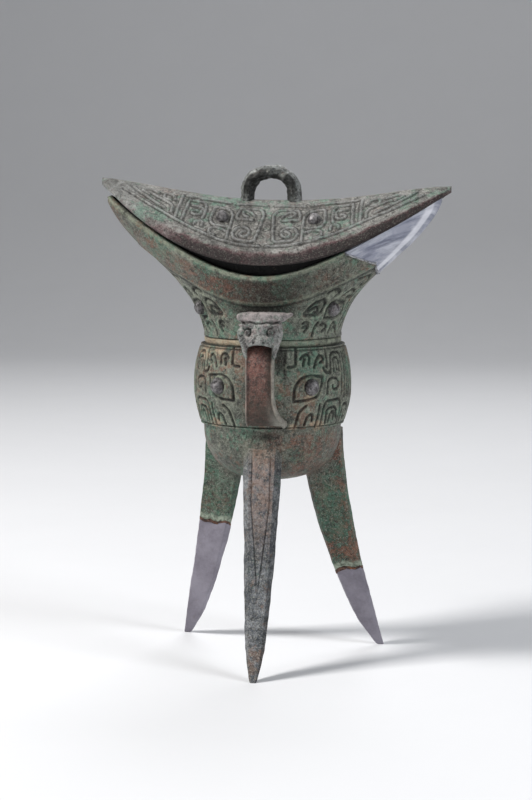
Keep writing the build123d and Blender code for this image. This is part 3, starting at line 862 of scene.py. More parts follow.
def cup_weathering(grid, outside):
    """Ochre earth and rust on the lower cup, painted shade with dark patina beside the strap and under its
    foot, and how far each place lies on its front's left.
    """
    x, y, z = coordinates(grid)
    front = ease(-y, *FRONT_FADE)
    left = ease(-x, *LEFT_FADE) * front
    ochre = ease(z - WAIST_Z, *OCHRE_STRIP) * outside * (OCHRE_RIGHT + (1 - OCHRE_RIGHT) * left)
    for spot_x, spot_z, size in EARTH_SPOTS:
        ochre += bell(np.hypot(x - spot_x, z - spot_z), size) * front
    stain = BOWL_RUST * ease(BAND_Z - z, *BOWL_RUST_TOP) * ease(x, *BOWL_RUST_ALONG) * outside
    shade_and_dark_patina = np.zeros(x.shape)
    # Painted shade, with some dark patina: the strap's shadow to its right and the shade under its foot
    for spot_x, spot_z, half_width, half_height in SHADE_AND_DARK_PATINA_SPOTS:
        from_spot = ((x - spot_x) / half_width) ** 2 + ((z - spot_z) / half_height) ** 2
        shade_and_dark_patina += bell(from_spot, 1) * front * outside
    return np.clip(ochre, 0, 1), stain, shade_and_dark_patina, left


def lower_cup():
    """Bowl, belly band with its mask, waist, and the hollow inside."""
    turn = full_circle(CUP_COLUMNS)
    bowl_turn = np.linspace(BOWL_START, 1, BOWL_ROWS) * pi / 2
    bowl_up = BOWL_DEPTH * (1 - np.cos(bowl_turn) ** (2 / BOWL_SQUARENESS))
    bowl_out = BOWL_RADIUS * np.sin(bowl_turn) ** (2 / BOWL_SQUARENESS)
    band_z = np.linspace(BAND_Z, WAIST_Z, BAND_ROWS)
    waist_share, waist_step, waist_shade = np.array(WAIST_PROFILE).T
    inner_root = WAIST_RADIUS - WALL
    inside_z = np.linspace(WAIST_Z, BAND_Z, HOLLOW_ROWS)
    z = np.concatenate([
        BOWL_CLEARANCE + bowl_up,
        band_z,
        WAIST_Z + WAIST_HEIGHT * waist_share,
        [NECK_Z],
        inside_z,
        BOWL_CLEARANCE + WALL + (bowl_up * (BOWL_DEPTH - WALL) / BOWL_DEPTH)[::-2],
    ])
    profile = np.concatenate([
        bowl_out,
        band_radius_at(band_z, BAND_EDGE_RADIUS, BAND_RADIUS),
        WAIST_RADIUS + waist_step,
        [inner_root],
        band_radius_at(inside_z, inner_root, BAND_RADIUS - WALL),
        (bowl_out * (BOWL_RADIUS - WALL) / BOWL_RADIUS)[::-2],
    ])
    band = slice(BOWL_ROWS, BOWL_ROWS + BAND_ROWS)
    waist = slice(band.stop, band.stop + len(WAIST_PROFILE))
    waist_ring = slice(waist.start + WAIST_HOLLOW_ROWS, waist.stop - WAIST_HOLLOW_ROWS)
    outside = np.arange(len(z)) < waist.stop

    grooves, ring, lip = belly_mask(turn, band_z)
    circle = np.stack([np.cos(turn), np.sin(turn)], axis=-1)
    radius = np.repeat(profile[:, None], CUP_COLUMNS, axis=1)
    radius[band] += EYE_RING_HEIGHT * ring - GROOVE_DEPTH * grooves
    heights = np.repeat(z[:, None], CUP_COLUMNS, axis=1)
    grid = np.concatenate([radius[..., None] * circle, heights[..., None]], axis=-1)
    waves = hand_worked(grid, CUP_WAVES, CUP_SEED)
    grid[outside, :, :2] += (waves[..., None] * circle)[outside]

    ochre, stain, shade_and_dark_patina, left = cup_weathering(grid, outside[:, None])
    groove_and_shade = np.zeros(radius.shape)
    groove_and_shade[band] = grooves
    # Painted shade in the creases where the waist meets the band and the neck
    groove_and_shade[waist] = waist_shade[:, None]
    dust = np.zeros(radius.shape)
    dust[band] = np.maximum(ring, RIDGE_DUST * lip)
    dust[waist_ring] = WAIST_DUST + WAIST_DUST_RIGHT * (1 - left[waist_ring])
    marks = {"groove_and_shade": groove_and_shade, "ochre": ochre, "rise": dust, "stain": stain, "shade_and_dark_patina": shade_and_dark_patina}
    return closed_grid("cup_lower", grid, marks)


# The neck, its mended end and the seam

def neck_rim(turn):
    """Height of the rim at each turn round the mouth."""
    z = np.full(turn.shape, RIM_Z)
    for _ in range(SETTLING_STEPS):
        z = (z + rim_height(neck_places(z, turn)[0])) / 2
    return z


def is_mended(x, z):
    """Whether a place on the neck lies on the mended side of the broken edge."""
    rim_z = TIP_Z - BREAK_RIM_DROP
    shoulder_z = TIP_Z - BREAK_SHOULDER_DROP
    slope = (shoulder_z - rim_z) / (BREAK_SHOULDER_X - BREAK_RIM_X)
    above = z > rim_z + slope * (x - BREAK_RIM_X)
    return (x > BREAK_SHOULDER_X) | ((x > BREAK_RIM_X) & above)


def neck_patch(name, grid, relief, keep, marks):
    """One part of the neck's outside, thickened inward, with its relief and marks on the outside alone."""
    faces = grid_faces(*grid.shape[:2], True)[keep]
    used, renumbered = np.unique(faces, return_inverse=True)
    flat = grid.reshape(-1, 3)[used]
    own_marks = {mark: values.ravel()[used] for mark, values in marks.items()}
    piece = make_piece(name, flat, renumbered.reshape(-1, 4).tolist(), own_marks)
    wall = piece.modifiers.new("wall", "SOLIDIFY")
    wall.thickness = WALL * MM
    wall.offset = -1
    apply_modifiers(piece)
    outer = flat + (grid_normals(grid) * relief[..., None]).reshape(-1, 3)[used]
    for vertex, place in zip(piece.data.vertices, outer * MM):
        vertex.co = place
    for mark in marks:
        store = piece.data.attributes[mark]
        values = np.empty(len(store.data))
        store.data.foreach_get("value", values)
        values[len(flat):] = 0
        store.data.foreach_set("value", values)
    return piece


def neck_dragons(turn, up, field):
    """The dragons on the neck: their grooves, and the lips of those grooves."""
    degree = radians(1) * NECK_ROOT_RADIUS * NECK_CHART_STRETCH
    across = np.repeat(quarter_turns(turn)[None, :] * degree, len(up), axis=0)
    strokes = [[(turned * degree, height) for turned, height in stroke] for stroke in NECK_STROKES]
    groove_gap = distance_to(strokes, across, up)
    grooves = line_mask(groove_gap, NECK_GROOVE_WIDTH) * field
    lip = line_mask(np.abs(groove_gap - NECK_GROOVE_WIDTH), GROOVE_LIP) * field * (1 - grooves)
    eye_gap = np.hypot(across - NECK_EYE_SPREAD * degree, up - NECK_EYE_HEIGHT)
    return grooves * ease(eye_gap, EYE_RADIUS, EYE_RADIUS + EYE_CLEARING), lip


def neck_shade_and_dark_patina(x, y, below_rim):
    """Painted shade, with some dark patina, in the middle of the rim's band under the lid, and painted
    shadow above the ox head.
    """
    below_band = below_rim - RIM_BAND
    on_band = bell(x - RIM_SHADE_X, RIM_SHADE_REACH) * ease(below_rim, *RIM_SHADE_TOP)
    on_band *= 1 - ease(below_band, *RIM_SHADE_END)
    above_head = HEAD_SHADE * bell(x, HEAD_SHADE_REACH) * ease(-y, *HEAD_SHADE_FRONT)
    above_head *= ease(below_band, *HEAD_SHADE_TOP) * (1 - ease(below_band, *HEAD_SHADE_END))
    return np.maximum(on_band, above_head)


def neck_and_mend():
    """The neck with its dragons, and the bright end that is let into its mouth."""
    turn = full_circle(NECK_COLUMNS)
    z = NECK_Z + np.linspace(0, 1, NECK_ROWS)[:, None] * (neck_rim(turn) - NECK_Z)
    x, y = neck_places(z, turn[None, :])
    grid = np.stack([x, y, z], axis=-1)
    up = z - NECK_Z
    below_rim = rim_height(x) - z
    field = ease(below_rim, RIM_BAND - FIELD_EDGE, RIM_BAND)
    grooves, groove_lip = neck_dragons(turn, up, field)
    rim_line = line_mask(np.abs(below_rim - RIM_BAND + RIM_LINE_INSET), RIM_LINE_WIDTH)
    # Painted shadow under the raised line at the foot of the rim's band
    shadow_under_line = line_mask(np.abs(below_rim - RIM_BAND - UNDER_LINE_DROP), UNDER_LINE_WIDTH)
    lip = line_mask(below_rim, RIM_LIP)
    rounding = RIM_LIP_ROUND * lip ** 3
    relief = hand_worked(grid, NECK_WAVES, NECK_SEED) + RIM_LINE_HEIGHT * rim_line - rounding
    relief -= FIELD_SINK * field * ease(up, *FIELD_ROOT) + GROOVE_DEPTH * grooves
    rusty = RIM_RUST_LEAST + (1 - RIM_RUST_LEAST) * bell(x - RIM_RUST_X, RIM_RUST_REACH)
    pale_line = RIM_LINE_PALE * rim_line * (1 - shadow_under_line)
    marks = {
        "groove_and_shade": np.maximum(grooves, UNDER_LINE_SHADE * shadow_under_line),
        "stain": (1 - field) * ease(below_rim, *RIM_RUST_TOP) * rusty,
        "rise": np.maximum(pale_line, np.maximum(RIDGE_DUST * groove_lip, lip)),
        "shade_and_dark_patina": neck_shade_and_dark_patina(x, y, below_rim),
    }

    middle = (grid[:-1] + grid[1:]) / 2
    middle = (middle + np.roll(middle, -1, axis=1)) / 2
    jag = BREAK_JAG * unevenness(middle, BREAK_JAG_LENGTH, BREAK_SEED)
    mended = is_mended(middle[..., 0] + jag, middle[..., 2] + jag).ravel()
    neck = neck_patch("cup_neck", grid, relief, ~mended, marks)
    smooth_relief = hand_worked(grid, MEND_WAVES, MEND_SEED) - rounding
    smooth_relief += hand_worked(grid * np.array(MEND_STREAK_RUN), MEND_STREAKS, STREAK_SEED)
    keel_highlight = line_mask(np.abs(np.abs(np.sin(turn)) - KEEL_HIGHLIGHT_SIDE), KEEL_HIGHLIGHT_WIDTH)
    keel_highlight_marks = {"keel_highlight": np.broadcast_to(keel_highlight, z.shape)}
    mend = neck_patch("mended_mouth_end", grid, smooth_relief, mended, keel_highlight_marks)
    return neck, mend


def bead(name, path, radii):
    """A round rod along a path, with its own radius at each place."""
    along = unit(np.gradient(path, axis=0))
    guide = unit(np.cross(along, np.array(SEAM_GUIDE)))
    other = np.cross(along, guide)
    turn = full_circle(SEAM_COLUMNS)[None, :, None]
    ring = guide[:, None] * np.cos(turn) + other[:, None] * np.sin(turn)
    return closed_grid(name, path[:, None] + ring * radii[:, None, None], {})


def solder_seam():
    """A thin uneven bead along the broken edge, from the rim in front, under the end, to the rim behind."""
    shoulder_z = TIP_Z - BREAK_SHOULDER_DROP
    rim_z = float(rim_height(BREAK_RIM_X))
    low = RIM_Z
    for _ in range(SETTLING_STEPS):
        low += SETTLING_PACE * (BREAK_SHOULDER_X - neck_places(low, 0.0)[0])
    lean = np.linspace(0, 1, SEAM_RIM_ROWS)
    down = (1 - np.linspace(0, 1, SEAM_END_ROWS + 1)[1:]) ** 2
    x = np.concatenate([
        BREAK_RIM_X + (BREAK_SHOULDER_X - BREAK_RIM_X) * lean,
        np.full(SEAM_END_ROWS, BREAK_SHOULDER_X),
    ])
    z = np.concatenate([
        rim_z - SEAM_TUCK + (shoulder_z - rim_z) * lean,
        low + (shoulder_z - low) * down,
    ])
    turn = np.arccos(np.clip(x / neck_places(z, 0.0)[0], -1, 1))
    front = np.stack([x, -neck_places(z, turn)[1], z], axis=-1)
    path = np.vstack([front, (front * np.array([1, -1, 1]))[::-1][1:]])
    wander = [unevenness(path, SEAM_WANDER_LENGTH, SEAM_SEED + axis) for axis in range(3)]
    path += SEAM_WANDER * np.stack(wander, axis=-1)
    radii = SEAM_RADIUS * (1 + SEAM_UNEVENNESS * unevenness(path, SEAM_LUMP_LENGTH, SEAM_LUMP_SEED))
    return bead("solder_bead", path, radii)


# Eyes

def boss(place, normal, size):
    """A domed eye standing on a surface, as a grid of points."""
    out = Vector(normal).normalized()
    turn_to = np.array(out.to_track_quat("Z", "Y").to_matrix())
    rise = np.linspace(0, 1, EYE_ROWS) * pi / 2
    turn = full_circle(EYE_COLUMNS)
    radius = size * EYE_WIDTH * np.cos(rise * EYE_TOP) ** EYE_FULLNESS
    height = size * (EYE_HEIGHT * np.sin(rise) - EYE_SINK)
    ring = np.stack([np.cos(turn), EYE_OVAL * np.sin(turn)], axis=-1)
    heights = np.repeat(height[:, None, None], EYE_COLUMNS, axis=1)
    local = np.concatenate([radius[:, None, None] * ring, heights], axis=-1)
    points = local @ turn_to.T + np.asarray(place)
    return points + hand_worked(points, EYE_WAVES, EYE_SEED)[..., None] * np.array(out)


def bosses(name, places, normals, size=EYE_RADIUS):
    """Several eyes in one piece."""
    points, faces = [], []
    for number, (place, normal) in enumerate(zip(places, normals)):
        points.append(boss(place, normal, size).reshape(-1, 3))
        faces += capped_faces(EYE_ROWS, EYE_COLUMNS, number * EYE_ROWS * EYE_COLUMNS)
    return set_outward(make_piece(name, np.vstack(points), faces, {}))


def belly_eyes():
    z = BAND_Z + BELLY_EYE_HEIGHT
    radius = float(band_radius_at(z, BAND_EDGE_RADIUS, BAND_RADIUS))
    turns = (BELLY_EYE_SPREAD, -BELLY_EYE_SPREAD, 180 + BELLY_EYE_SPREAD, 180 - BELLY_EYE_SPREAD)
    places = [facing(HANDLE_TURN + turn, (0, -radius, z)) for turn in turns]
    normals = [(place[0], place[1], 0) for place in places]
    return bosses("belly_mask_eyes", places, normals, BELLY_EYE_RADIUS)


def neck_eyes():
    z = NECK_Z + NECK_EYE_HEIGHT
    above_z = z + STEP_UP
    places, normals = [], []
    for middle in (270, 90):
        for side in (-1, 1):
            turn = radians(middle + side * NECK_EYE_SPREAD)
            here = np.array([*neck_places(z, turn), z])
            beside = np.array([*neck_places(z, turn + STEP_SHARE), z])
            above = np.array([*neck_places(above_z, turn), above_z])
            places.append(here)
            normals.append(np.cross(beside - here, above - here))
    return bosses("neck_dragon_eyes", places, normals)


def lid_surface(x, side):
    """A place on the lid's roof: distance along, and signed share of the half width."""
    z = lid_edge_height(x) + lid_roof_height(x) * (1 - roof_fall(np.abs(side)))
    return np.stack([x, side * lid_half_width(x), z], axis=-1)


def lid_eyes():
    places, normals = [], []
    for x in (-LID_EYE_X, LID_EYE_X):
        for side in (-LID_EYE_SIDE, LID_EYE_SIDE):
            here = lid_surface(x, side)
            along = lid_surface(x + STEP_ALONG, side) - here
            down = lid_surface(x, side + STEP_SHARE) - here
            places.append(seated(here))
            normals.append(np.cross(along, down))
    return bosses("lid_mask_eyes", places, normals)


# The lid

def lid_roof(x, y):
    """The saddle roof over an outline: its points, the mask's raised threads, and the lines beside them,
    darkened as painted shadow of the threads.
    """
    down = np.linspace(0, 1, LID_ROWS)[:, None]
    rolled = np.clip((down - EDGE_ROLL_START) / (1 - EDGE_ROLL_START), 0, 1)
    z = lid_edge_height(x) + lid_roof_height(x) * (1 - roof_fall(down))
    z = z - EDGE_ROLL * rolled ** 2 - TIP_DROP * lid_tip(x)
    across = np.repeat(x[None], LID_ROWS, axis=0)
    roof = np.stack([across, down * y, z], axis=-1)

    up = down * lid_slope(x)
    strokes = [[(along, share * lid_slope(along)) for along, share in stroke] for stroke in LID_STROKES]
    thread_gap = distance_to(strokes, np.abs(across), up)
    eye_gap = np.hypot(np.abs(across) - LID_EYE_X, up - LID_EYE_SIDE * lid_slope(LID_EYE_X))
    eye_edge = EYE_RADIUS + LID_EYE_GAP
    threads = line_mask(thread_gap, THREAD_WIDTH) * ease(eye_gap, eye_edge, eye_edge + EYE_CLEARING)
    border = ease(down, *LID_BORDER)
    crest = 1 - ease(up, *LID_CREST)
    pits = hand_worked(roof, LID_PITS, LID_PIT_SEED) * (1 - threads) * (1 - border) * (1 - crest)
    plain = LID_PLAIN_HEIGHT * np.maximum(border, crest)
    rise = THREAD_HEIGHT * np.maximum(threads, plain) + pits - LID_FIELD_SINK
    rise += hand_worked(roof, LID_WAVES, LID_SEED)
    rise[0] = np.interp(np.abs(x), [0, LID_HALF_LENGTH], RIDGE_RISE)
    normal = grid_normals(roof)
    normal *= np.where(normal[..., 2:] < 0, -1, 1)
    normal[0] = (0, 0, 1)
    beside = line_mask(np.abs(thread_gap - THREAD_OUTLINE), GROOVE_LIP) * (1 - border) * (1 - threads)
    return roof + normal * rise[..., None], threads, beside


def lid_skirt(x, y, edge):
    """The turned-down edge below the roof, bulging a little."""
    low = np.stack([x * (1 - TIP_TUCK * lid_tip(x)), y, lid_skirt_bottom(x)], axis=-1)
    share = np.linspace(0, 1, SKIRT_ROWS + 1)[1:, None, None]
    skirt = edge + (low - edge) * share
    skirt[..., 1:2] += np.sign(y)[None, :, None] * SKIRT_BULGE * np.sin(share * pi)
    return skirt


def lid_underside(turn):
    """The inner lip of the skirt, and the hollow below the roof."""
    length = LID_HALF_LENGTH * cos(radians(CAVITY_TIP_TURN))
    x, y = mouth_outline(length, LID_HALF_WIDTH - LID_WALL, MOUTH_END_ROUNDNESS, turn)
    low = np.stack([x, y, lid_skirt_bottom(x)], axis=-1)[None]
    up = np.linspace(1, 0, UNDERSIDE_ROWS)[:, None]
    z = lid_edge_height(x) + lid_roof_height(x) * (1 - roof_fall(up)) - LID_ROOF_WALL
    z = np.maximum(z, low[..., 2] + LID_LIP)
    return np.concatenate([low, np.stack([np.repeat(x[None], UNDERSIDE_ROWS, axis=0), up * y, z], axis=-1)])


def lid_brown(x, rows):
    """The brown of the lid's edge: a haze above it, full on the skirt and darkening down it, thin at the
    left end and tips.
    """
    down = np.linspace(0, 1, LID_ROWS)[:, None]
    lightest, darkest = SKIRT_BROWN
    brown = np.full((rows, len(x)), darkest)
    brown[:LID_ROWS] = BROWN_HAZE * ease(down, *BROWN_HAZE_FADE)
    brown[:LID_ROWS] += (1 - BROWN_HAZE) * ease(down, *BROWN_EDGE_FADE)
    brown[LID_ROWS:LID_ROWS + SKIRT_ROWS] = np.linspace(lightest, darkest, SKIRT_ROWS)[:, None]
    return brown * (BROWN_LEFT + (1 - BROWN_LEFT) * ease(x, *BROWN_LEFT_FADE) - BROWN_TIP * lid_tip(x))


def lid():
    """Saddle roof with its mask in raised threads, skirt, and hollow underside."""
    even = full_circle(LID_COLUMNS)
    turn = even + LID_CROWDING * np.sin(2 * even)
    x, y = mouth_outline(LID_HALF_LENGTH, LID_HALF_WIDTH, MOUTH_END_ROUNDNESS, turn)
    roof, threads, beside = lid_roof(x, y)
    grid = np.concatenate([roof, lid_skirt(x, y, roof[-1]), lid_underside(turn)])
    below_roof = ((0, len(grid) - LID_ROWS), (0, 0))
    pale_end = LID_PALE * ease(-x, *LID_PALE_END)
    marks = {
        # Dark lines beside the threads: painted shadow
        "groove_and_shade": np.pad(beside, below_roof),
        "rise": np.maximum(np.pad(threads, below_roof), pale_end),
        "brown": lid_brown(x, len(grid)),
    }
    faces = grid_faces(len(grid), LID_COLUMNS, True).tolist()
    return set_outward(make_piece("lid_roof", seated(grid), faces, marks), LID_WELD)


def lid_loop():
    """A cast arch of oval bar standing on the crest, hollow in its faces and worn uneven."""
    half = LOOP_HALF_WIDTH - LOOP_BAR / 2
    shoulder = CREST_Z + LOOP_HEIGHT - LOOP_HALF_WIDTH
    post = np.linspace(CREST_Z - LID_ROOF_WALL / 2, shoulder, LOOP_POST_ROWS + 1)[:-1]
    upright = np.full(LOOP_POST_ROWS, half)
    bend = np.linspace(pi, 0, LOOP_BEND_ROWS)
    x = LOOP_X + np.concatenate([-upright, half * np.cos(bend), upright])
    z = np.concatenate([post, shoulder + half * np.sin(bend) ** LOOP_FLATNESS, post[::-1]])
    path = np.stack([x, np.zeros(len(x)), z], axis=-1)
    along = unit(np.gradient(path, axis=0))
    outward = np.stack([-along[:, 2], np.zeros(len(x)), along[:, 0]], axis=-1)
    turn = full_circle(LOOP_COLUMNS)
    thick = (np.cos(turn) * LOOP_BAR / 2)[None, :, None]
    deep = (np.sin(turn) * LOOP_BAR_DEPTH / 2)[None, :, None]
    grid = path[:, None] + outward[:, None] * thick + np.array([0, 1, 0]) * deep

    hollow = ease(np.abs(np.sin(turn)), *LOOP_FACE) * ease(z - CREST_Z, *LOOP_HOLLOW_RISE)[:, None]
    hollow = hollow * ease(unevenness(grid, LOOP_HOLLOW_LENGTH, LOOP_HOLLOW_SEED), *LOOP_HOLLOW_BREAKS)
    worn = hand_worked(grid, LOOP_WAVES, LOOP_SEED)
    grid += grid_normals(grid) * (worn - LOOP_HOLLOW * hollow)[..., None]
    # Painted shade on the inside of the arch and painted highlight along its outer face, added to the dark
    # of its hollows
    inside = LOOP_INSIDE_SHADE * ease(-np.cos(turn), *LOOP_INSIDE)
    edge = np.broadcast_to(ease(np.cos(turn), *LOOP_HIGHLIGHT_EDGE), hollow.shape)
    marks = {"groove_and_shade": np.maximum(hollow, inside), "rise": edge}
    return closed_grid("lid_loop_arch", seated(grid), marks)


# The handle

def handle_path():
    """The strap's middle line in the plane of the handle: distance out from the axis, and height."""
    corner = STRAP_OUT - STRAP_BEND
    bend = np.linspace(0, pi / 2, STRAP_BEND_ROWS)
    arm = np.linspace(NECK_ROOT_RADIUS - WALL / 2, corner, STRAP_ARM_ROWS + 1)[:-1]
    upright = np.linspace(STRAP_TOP_Z - STRAP_BEND, STRAP_FOOT_Z + STRAP_BEND, STRAP_ROWS + 2)[1:-1]
    out = np.concatenate([
        arm, corner + STRAP_BEND * np.sin(bend), np.full(STRAP_ROWS, STRAP_OUT),
        corner + STRAP_BEND * np.cos(bend), arm[::-1],
    ])
    up = np.concatenate([
        np.full(STRAP_ARM_ROWS, STRAP_TOP_Z), STRAP_TOP_Z - STRAP_BEND * (1 - np.cos(bend)), upright,
        STRAP_FOOT_Z + STRAP_BEND * (1 - np.sin(bend)), np.full(STRAP_ARM_ROWS, STRAP_FOOT_Z),
    ])
    return out, up


def strap():
    """A flat strap with raised rounded edges and a slightly hollow face, flared at its foot."""
    out, up = handle_path()
    run = unit(np.stack([np.gradient(out), np.gradient(up)], axis=-1))
    outward = np.stack([-run[:, 1], run[:, 0]], axis=-1)
    turn = full_circle(STRAP_COLUMNS)
    side = np.sign(np.cos(turn)) * np.abs(np.cos(turn)) ** STRAP_ROUNDNESS
    face = np.sign(np.sin(turn)) * np.abs(np.sin(turn)) ** STRAP_ROUNDNESS
    near_foot = np.clip((STRAP_FOOT_Z + FOOT_FLARE_TOP - up) / FOOT_FLARE_HEIGHT, 0, 1)[:, None] ** 2
    right_lip = ease(side, *RIGHT_LIP)
    left_lip = ease(-side, *LEFT_LIP)
    lips = np.maximum(right_lip, left_lip)
    level = RIGHT_LIP_RISE * right_lip + LEFT_LIP_RISE * left_lip - FACE_SINK * (1 - lips)
    thick = face * STRAP_THICKNESS / 2 + level * (face > 0)
    flared = FOOT_FLARE * ease(side, *FOOT_FLARE_SIDE) - FOOT_PINCH * ease(-side, *FOOT_FLARE_SIDE)
    x = side * STRAP_WIDTH / 2 + flared * near_foot
    away = out[:, None] + outward[:, :1] * thick
    z = up[:, None] + outward[:, 1:] * thick + FOOT_LIFT * near_foot
    grid = np.stack([x, -away, z], axis=-1)
    grid += grid_normals(grid) * hand_worked(grid, STRAP_WAVES, STRAP_SEED)[..., None]
    pale = np.maximum(right_lip, LEFT_LIP_PALE * left_lip) + near_foot * ease(side, *FOOT_PALE_SIDE)
    dark = 1 - ease(up, STRAP_FOOT_Z + STRAP_DARK_FOOT, STRAP_TOP_Z - STRAP_DARK_TOP)
    # Painted shadow of the right lip on the face beside it
    shade = STRAP_SHADE * ease(side, *STRAP_SHADE_SIDE) * (1 - right_lip)
    marks = {"rise": np.clip(pale, 0, 1), "groove_and_shade": np.maximum(dark[:, None] * (1 - lips), shade)}
    return closed_grid("handle_strap_cast", facing(HANDLE_TURN, grid), marks)


def lump(shape, place, size, squareness=2.0):
    """Adds a rounded lump to a shape, with its place, half sizes and squareness as in HEAD_LUMPS."""
    x, out, drop = place
    ball = bmesh.ops.create_icosphere(shape, subdivisions=HEAD_BALL_FINENESS, radius=1)["verts"]
    for point in ball:
        point.co *= sum(abs(share) ** squareness for share in point.co) ** (-1 / squareness)
    middle = Matrix.Translation(Vector((x, -out, HEAD_TOP_Z - drop)) * MM)
    stretch = Matrix.Diagonal((*[half * MM for half in size], 1))
    bmesh.ops.transform(shape, matrix=middle @ stretch, verts=ball)


def fused_head():
    """The ox head's lumps, horn tip and cheeks, fused and softened into one mesh."""
    shape = bmesh.new()
    for place, size, squareness in HEAD_LUMPS:
        lump(shape, place, size, squareness)
    for share in np.linspace(0, 1, HEAD_CHAIN):
        upswept = np.array([share, share, share ** 2])
        lump(shape, HORN_ROOT + HORN_SWEEP * upswept, HORN_SIZE - HORN_TAPER * share)
        for hand in (-1, 1):
            cheek = (CHEEK_TOP + CHEEK_RUN * share) * (hand, 1, 1)
            lump(shape, cheek, CHEEK_SIZE - CHEEK_TAPER * share)
    mesh = bpy.data.meshes.new("handle_ox_head_cast")
    shape.to_mesh(mesh)
    shape.free()
    piece = put_in_scene("handle_ox_head_cast", mesh)
    fuse = piece.modifiers.new("fuse", "REMESH")
    fuse.mode = "VOXEL"
    fuse.voxel_size = HEAD_VOXEL * MM
    soften = piece.modifiers.new("soften", "SMOOTH")
    soften.factor = HEAD_SOFTNESS
    soften.iterations = HEAD_SOFTENING
    return apply_modifiers(piece)


def ox_head():
    """An ox's head over the top of the strap: flat horns, brow, sunk eyes and a broad muzzle."""
    piece = fused_head()
    mesh = piece.data
    points = np.empty(len(mesh.vertices) * 3)
    normals = np.empty(len(points))
    mesh.vertices.foreach_get("co", points)
    mesh.vertex_normals.foreach_get("vector", normals)
    points = points.reshape(-1, 3) / MM
    across, y, z = coordinates(points)
    side = np.abs(across)
    drop = HEAD_TOP_Z - z
    front = ease(-y, *HEAD_FRONT)
    brow_gap = np.abs(drop - BROW_DROP - BROW_WAVE * np.sin(side * BROW_PITCH))
    brow = line_mask(brow_gap, BROW_WIDTH) * front
    from_eye = np.hypot(side - HEAD_EYE_SIDE, drop - HEAD_EYE_DROP)
    socket = ease(from_eye, *SOCKET_INNER) * (1 - ease(from_eye, *SOCKET_OUTER)) * front
    pupil = (1 - ease(from_eye, *PUPIL)) * front
    from_nostril = np.hypot(side - NOSTRIL_SIDE, drop - NOSTRIL_DROP)
    nostril = (1 - ease(from_nostril, *NOSTRIL)) * front
    mouth = ease(drop - MOUTH_CURVE * side ** 2, *MOUTH_TOP)
    mouth *= (1 - ease(side, *MOUTH_SIDE)) * ease(-y, *MOUTH_FRONT)
    whisker_gap = np.abs((across * WHISKER_LEAN + drop) % WHISKER_PITCH - WHISKER_PITCH / 2)
    whisker = line_mask(whisker_gap, WHISKER_WIDTH) * ease(-across, *WHISKER_SIDE) * front
    whisker *= ease(drop, *WHISKER_TOP) * (1 - ease(drop, *WHISKER_END))
    # Dark eyes, nostrils and lines, with painted shade in the eye sockets and in the mouth under the muzzle
    groove_and_shade = np.clip(brow + SOCKET_DARK * socket + pupil + nostril + mouth + WHISKER_DARK * whisker, 0, 1)
    depth = FEATURE_DEPTH * (brow + socket + nostril) + MOUTH_DEPTH * mouth + WHISKER_DEPTH * whisker
    shift = hand_worked(points, HEAD_WAVES, HEAD_SEED) - depth
    points = points + normals.reshape(-1, 3) * shift[:, None]
    mesh.vertices.foreach_set("co", (facing(HANDLE_TURN, points) * MM).ravel())
    mark_points(mesh, {"groove_and_shade": groove_and_shade, "rise": 1 - ease(drop, *HORN_PALE)})
    return piece


# The legs

Leg = namedtuple("Leg", "turn reach lean sink")


def leg_section():
    """The blade's outline: at each place, shares of its half width, of its bevel and of its depth."""
    face = 1 - 2 * BEVEL
    back = 2 * EDGE_FLAT
    corners = np.array([
        (-face, 0, 0), (face, 0, 0), (1, 1, 0), (back, 0, 1), (-back, 0, 1), (-1, 1, 0),
    ])
    places = []
    for corner, beyond, count in zip(corners, np.roll(corners, -1, axis=0), LEG_SIDE_POINTS):
        places += [corner + (beyond - corner) * step / count for step in range(count)]
    return np.array(places)


def leg_points(leg, z):
    """The blade's surface at a height for each place of its outline: sideways, outward, and its width."""
    beside, bevel, inward = leg_section().T
    share = np.clip(z / LEG_TOP_Z, 0, 1)
    slim = FOOT_SLIMNESS + (1 - FOOT_SLIMNESS) * ease(z, 0, FOOT_SLIM_HEIGHT)
    grown = share ** BLADE_TAPER * slim
    width = FOOT_WIDTH + (LEG_WIDTH - FOOT_WIDTH) * grown
    depth = FOOT_DEPTH + (LEG_DEPTH - FOOT_DEPTH) * grown
    top_reach = BOWL_RADIUS + LEG_PROUD
    face = top_reach + (leg.reach - top_reach) * (1 - share) ** LEG_SPLAY_CURVE
    face = face - leg.sink * ease(z, LEG_TOP_Z - LEG_SINK_REACH, LEG_TOP_Z)
    side = beside * width / 2 + leg.lean * (1 - (1 - share) ** 2)
    return side, face - bevel * width * BEVEL - inward * depth, width


def leg_top(leg):
    """Height at which each line up the blade runs into the bowl's wall."""
    columns = sum(LEG_SIDE_POINTS)
    top = np.full(columns, LEG_TOP_Z)
    found = np.zeros(columns, bool)
    for height in np.linspace(BOWL_CLEARANCE - LEG_ROOT_LEAST, LEG_TOP_Z, LEG_TOP_TRIES):
        side, out, _ = leg_points(leg, np.full(columns, height))
        inside = np.hypot(side, out) < bowl_radius_at(height - LEG_ROOT_DEPTH) - LEG_ROOT_DEPTH
        fresh = inside & ~found & (height > BOWL_CLEARANCE)
        top[fresh] = height
        found |= inside
    return top


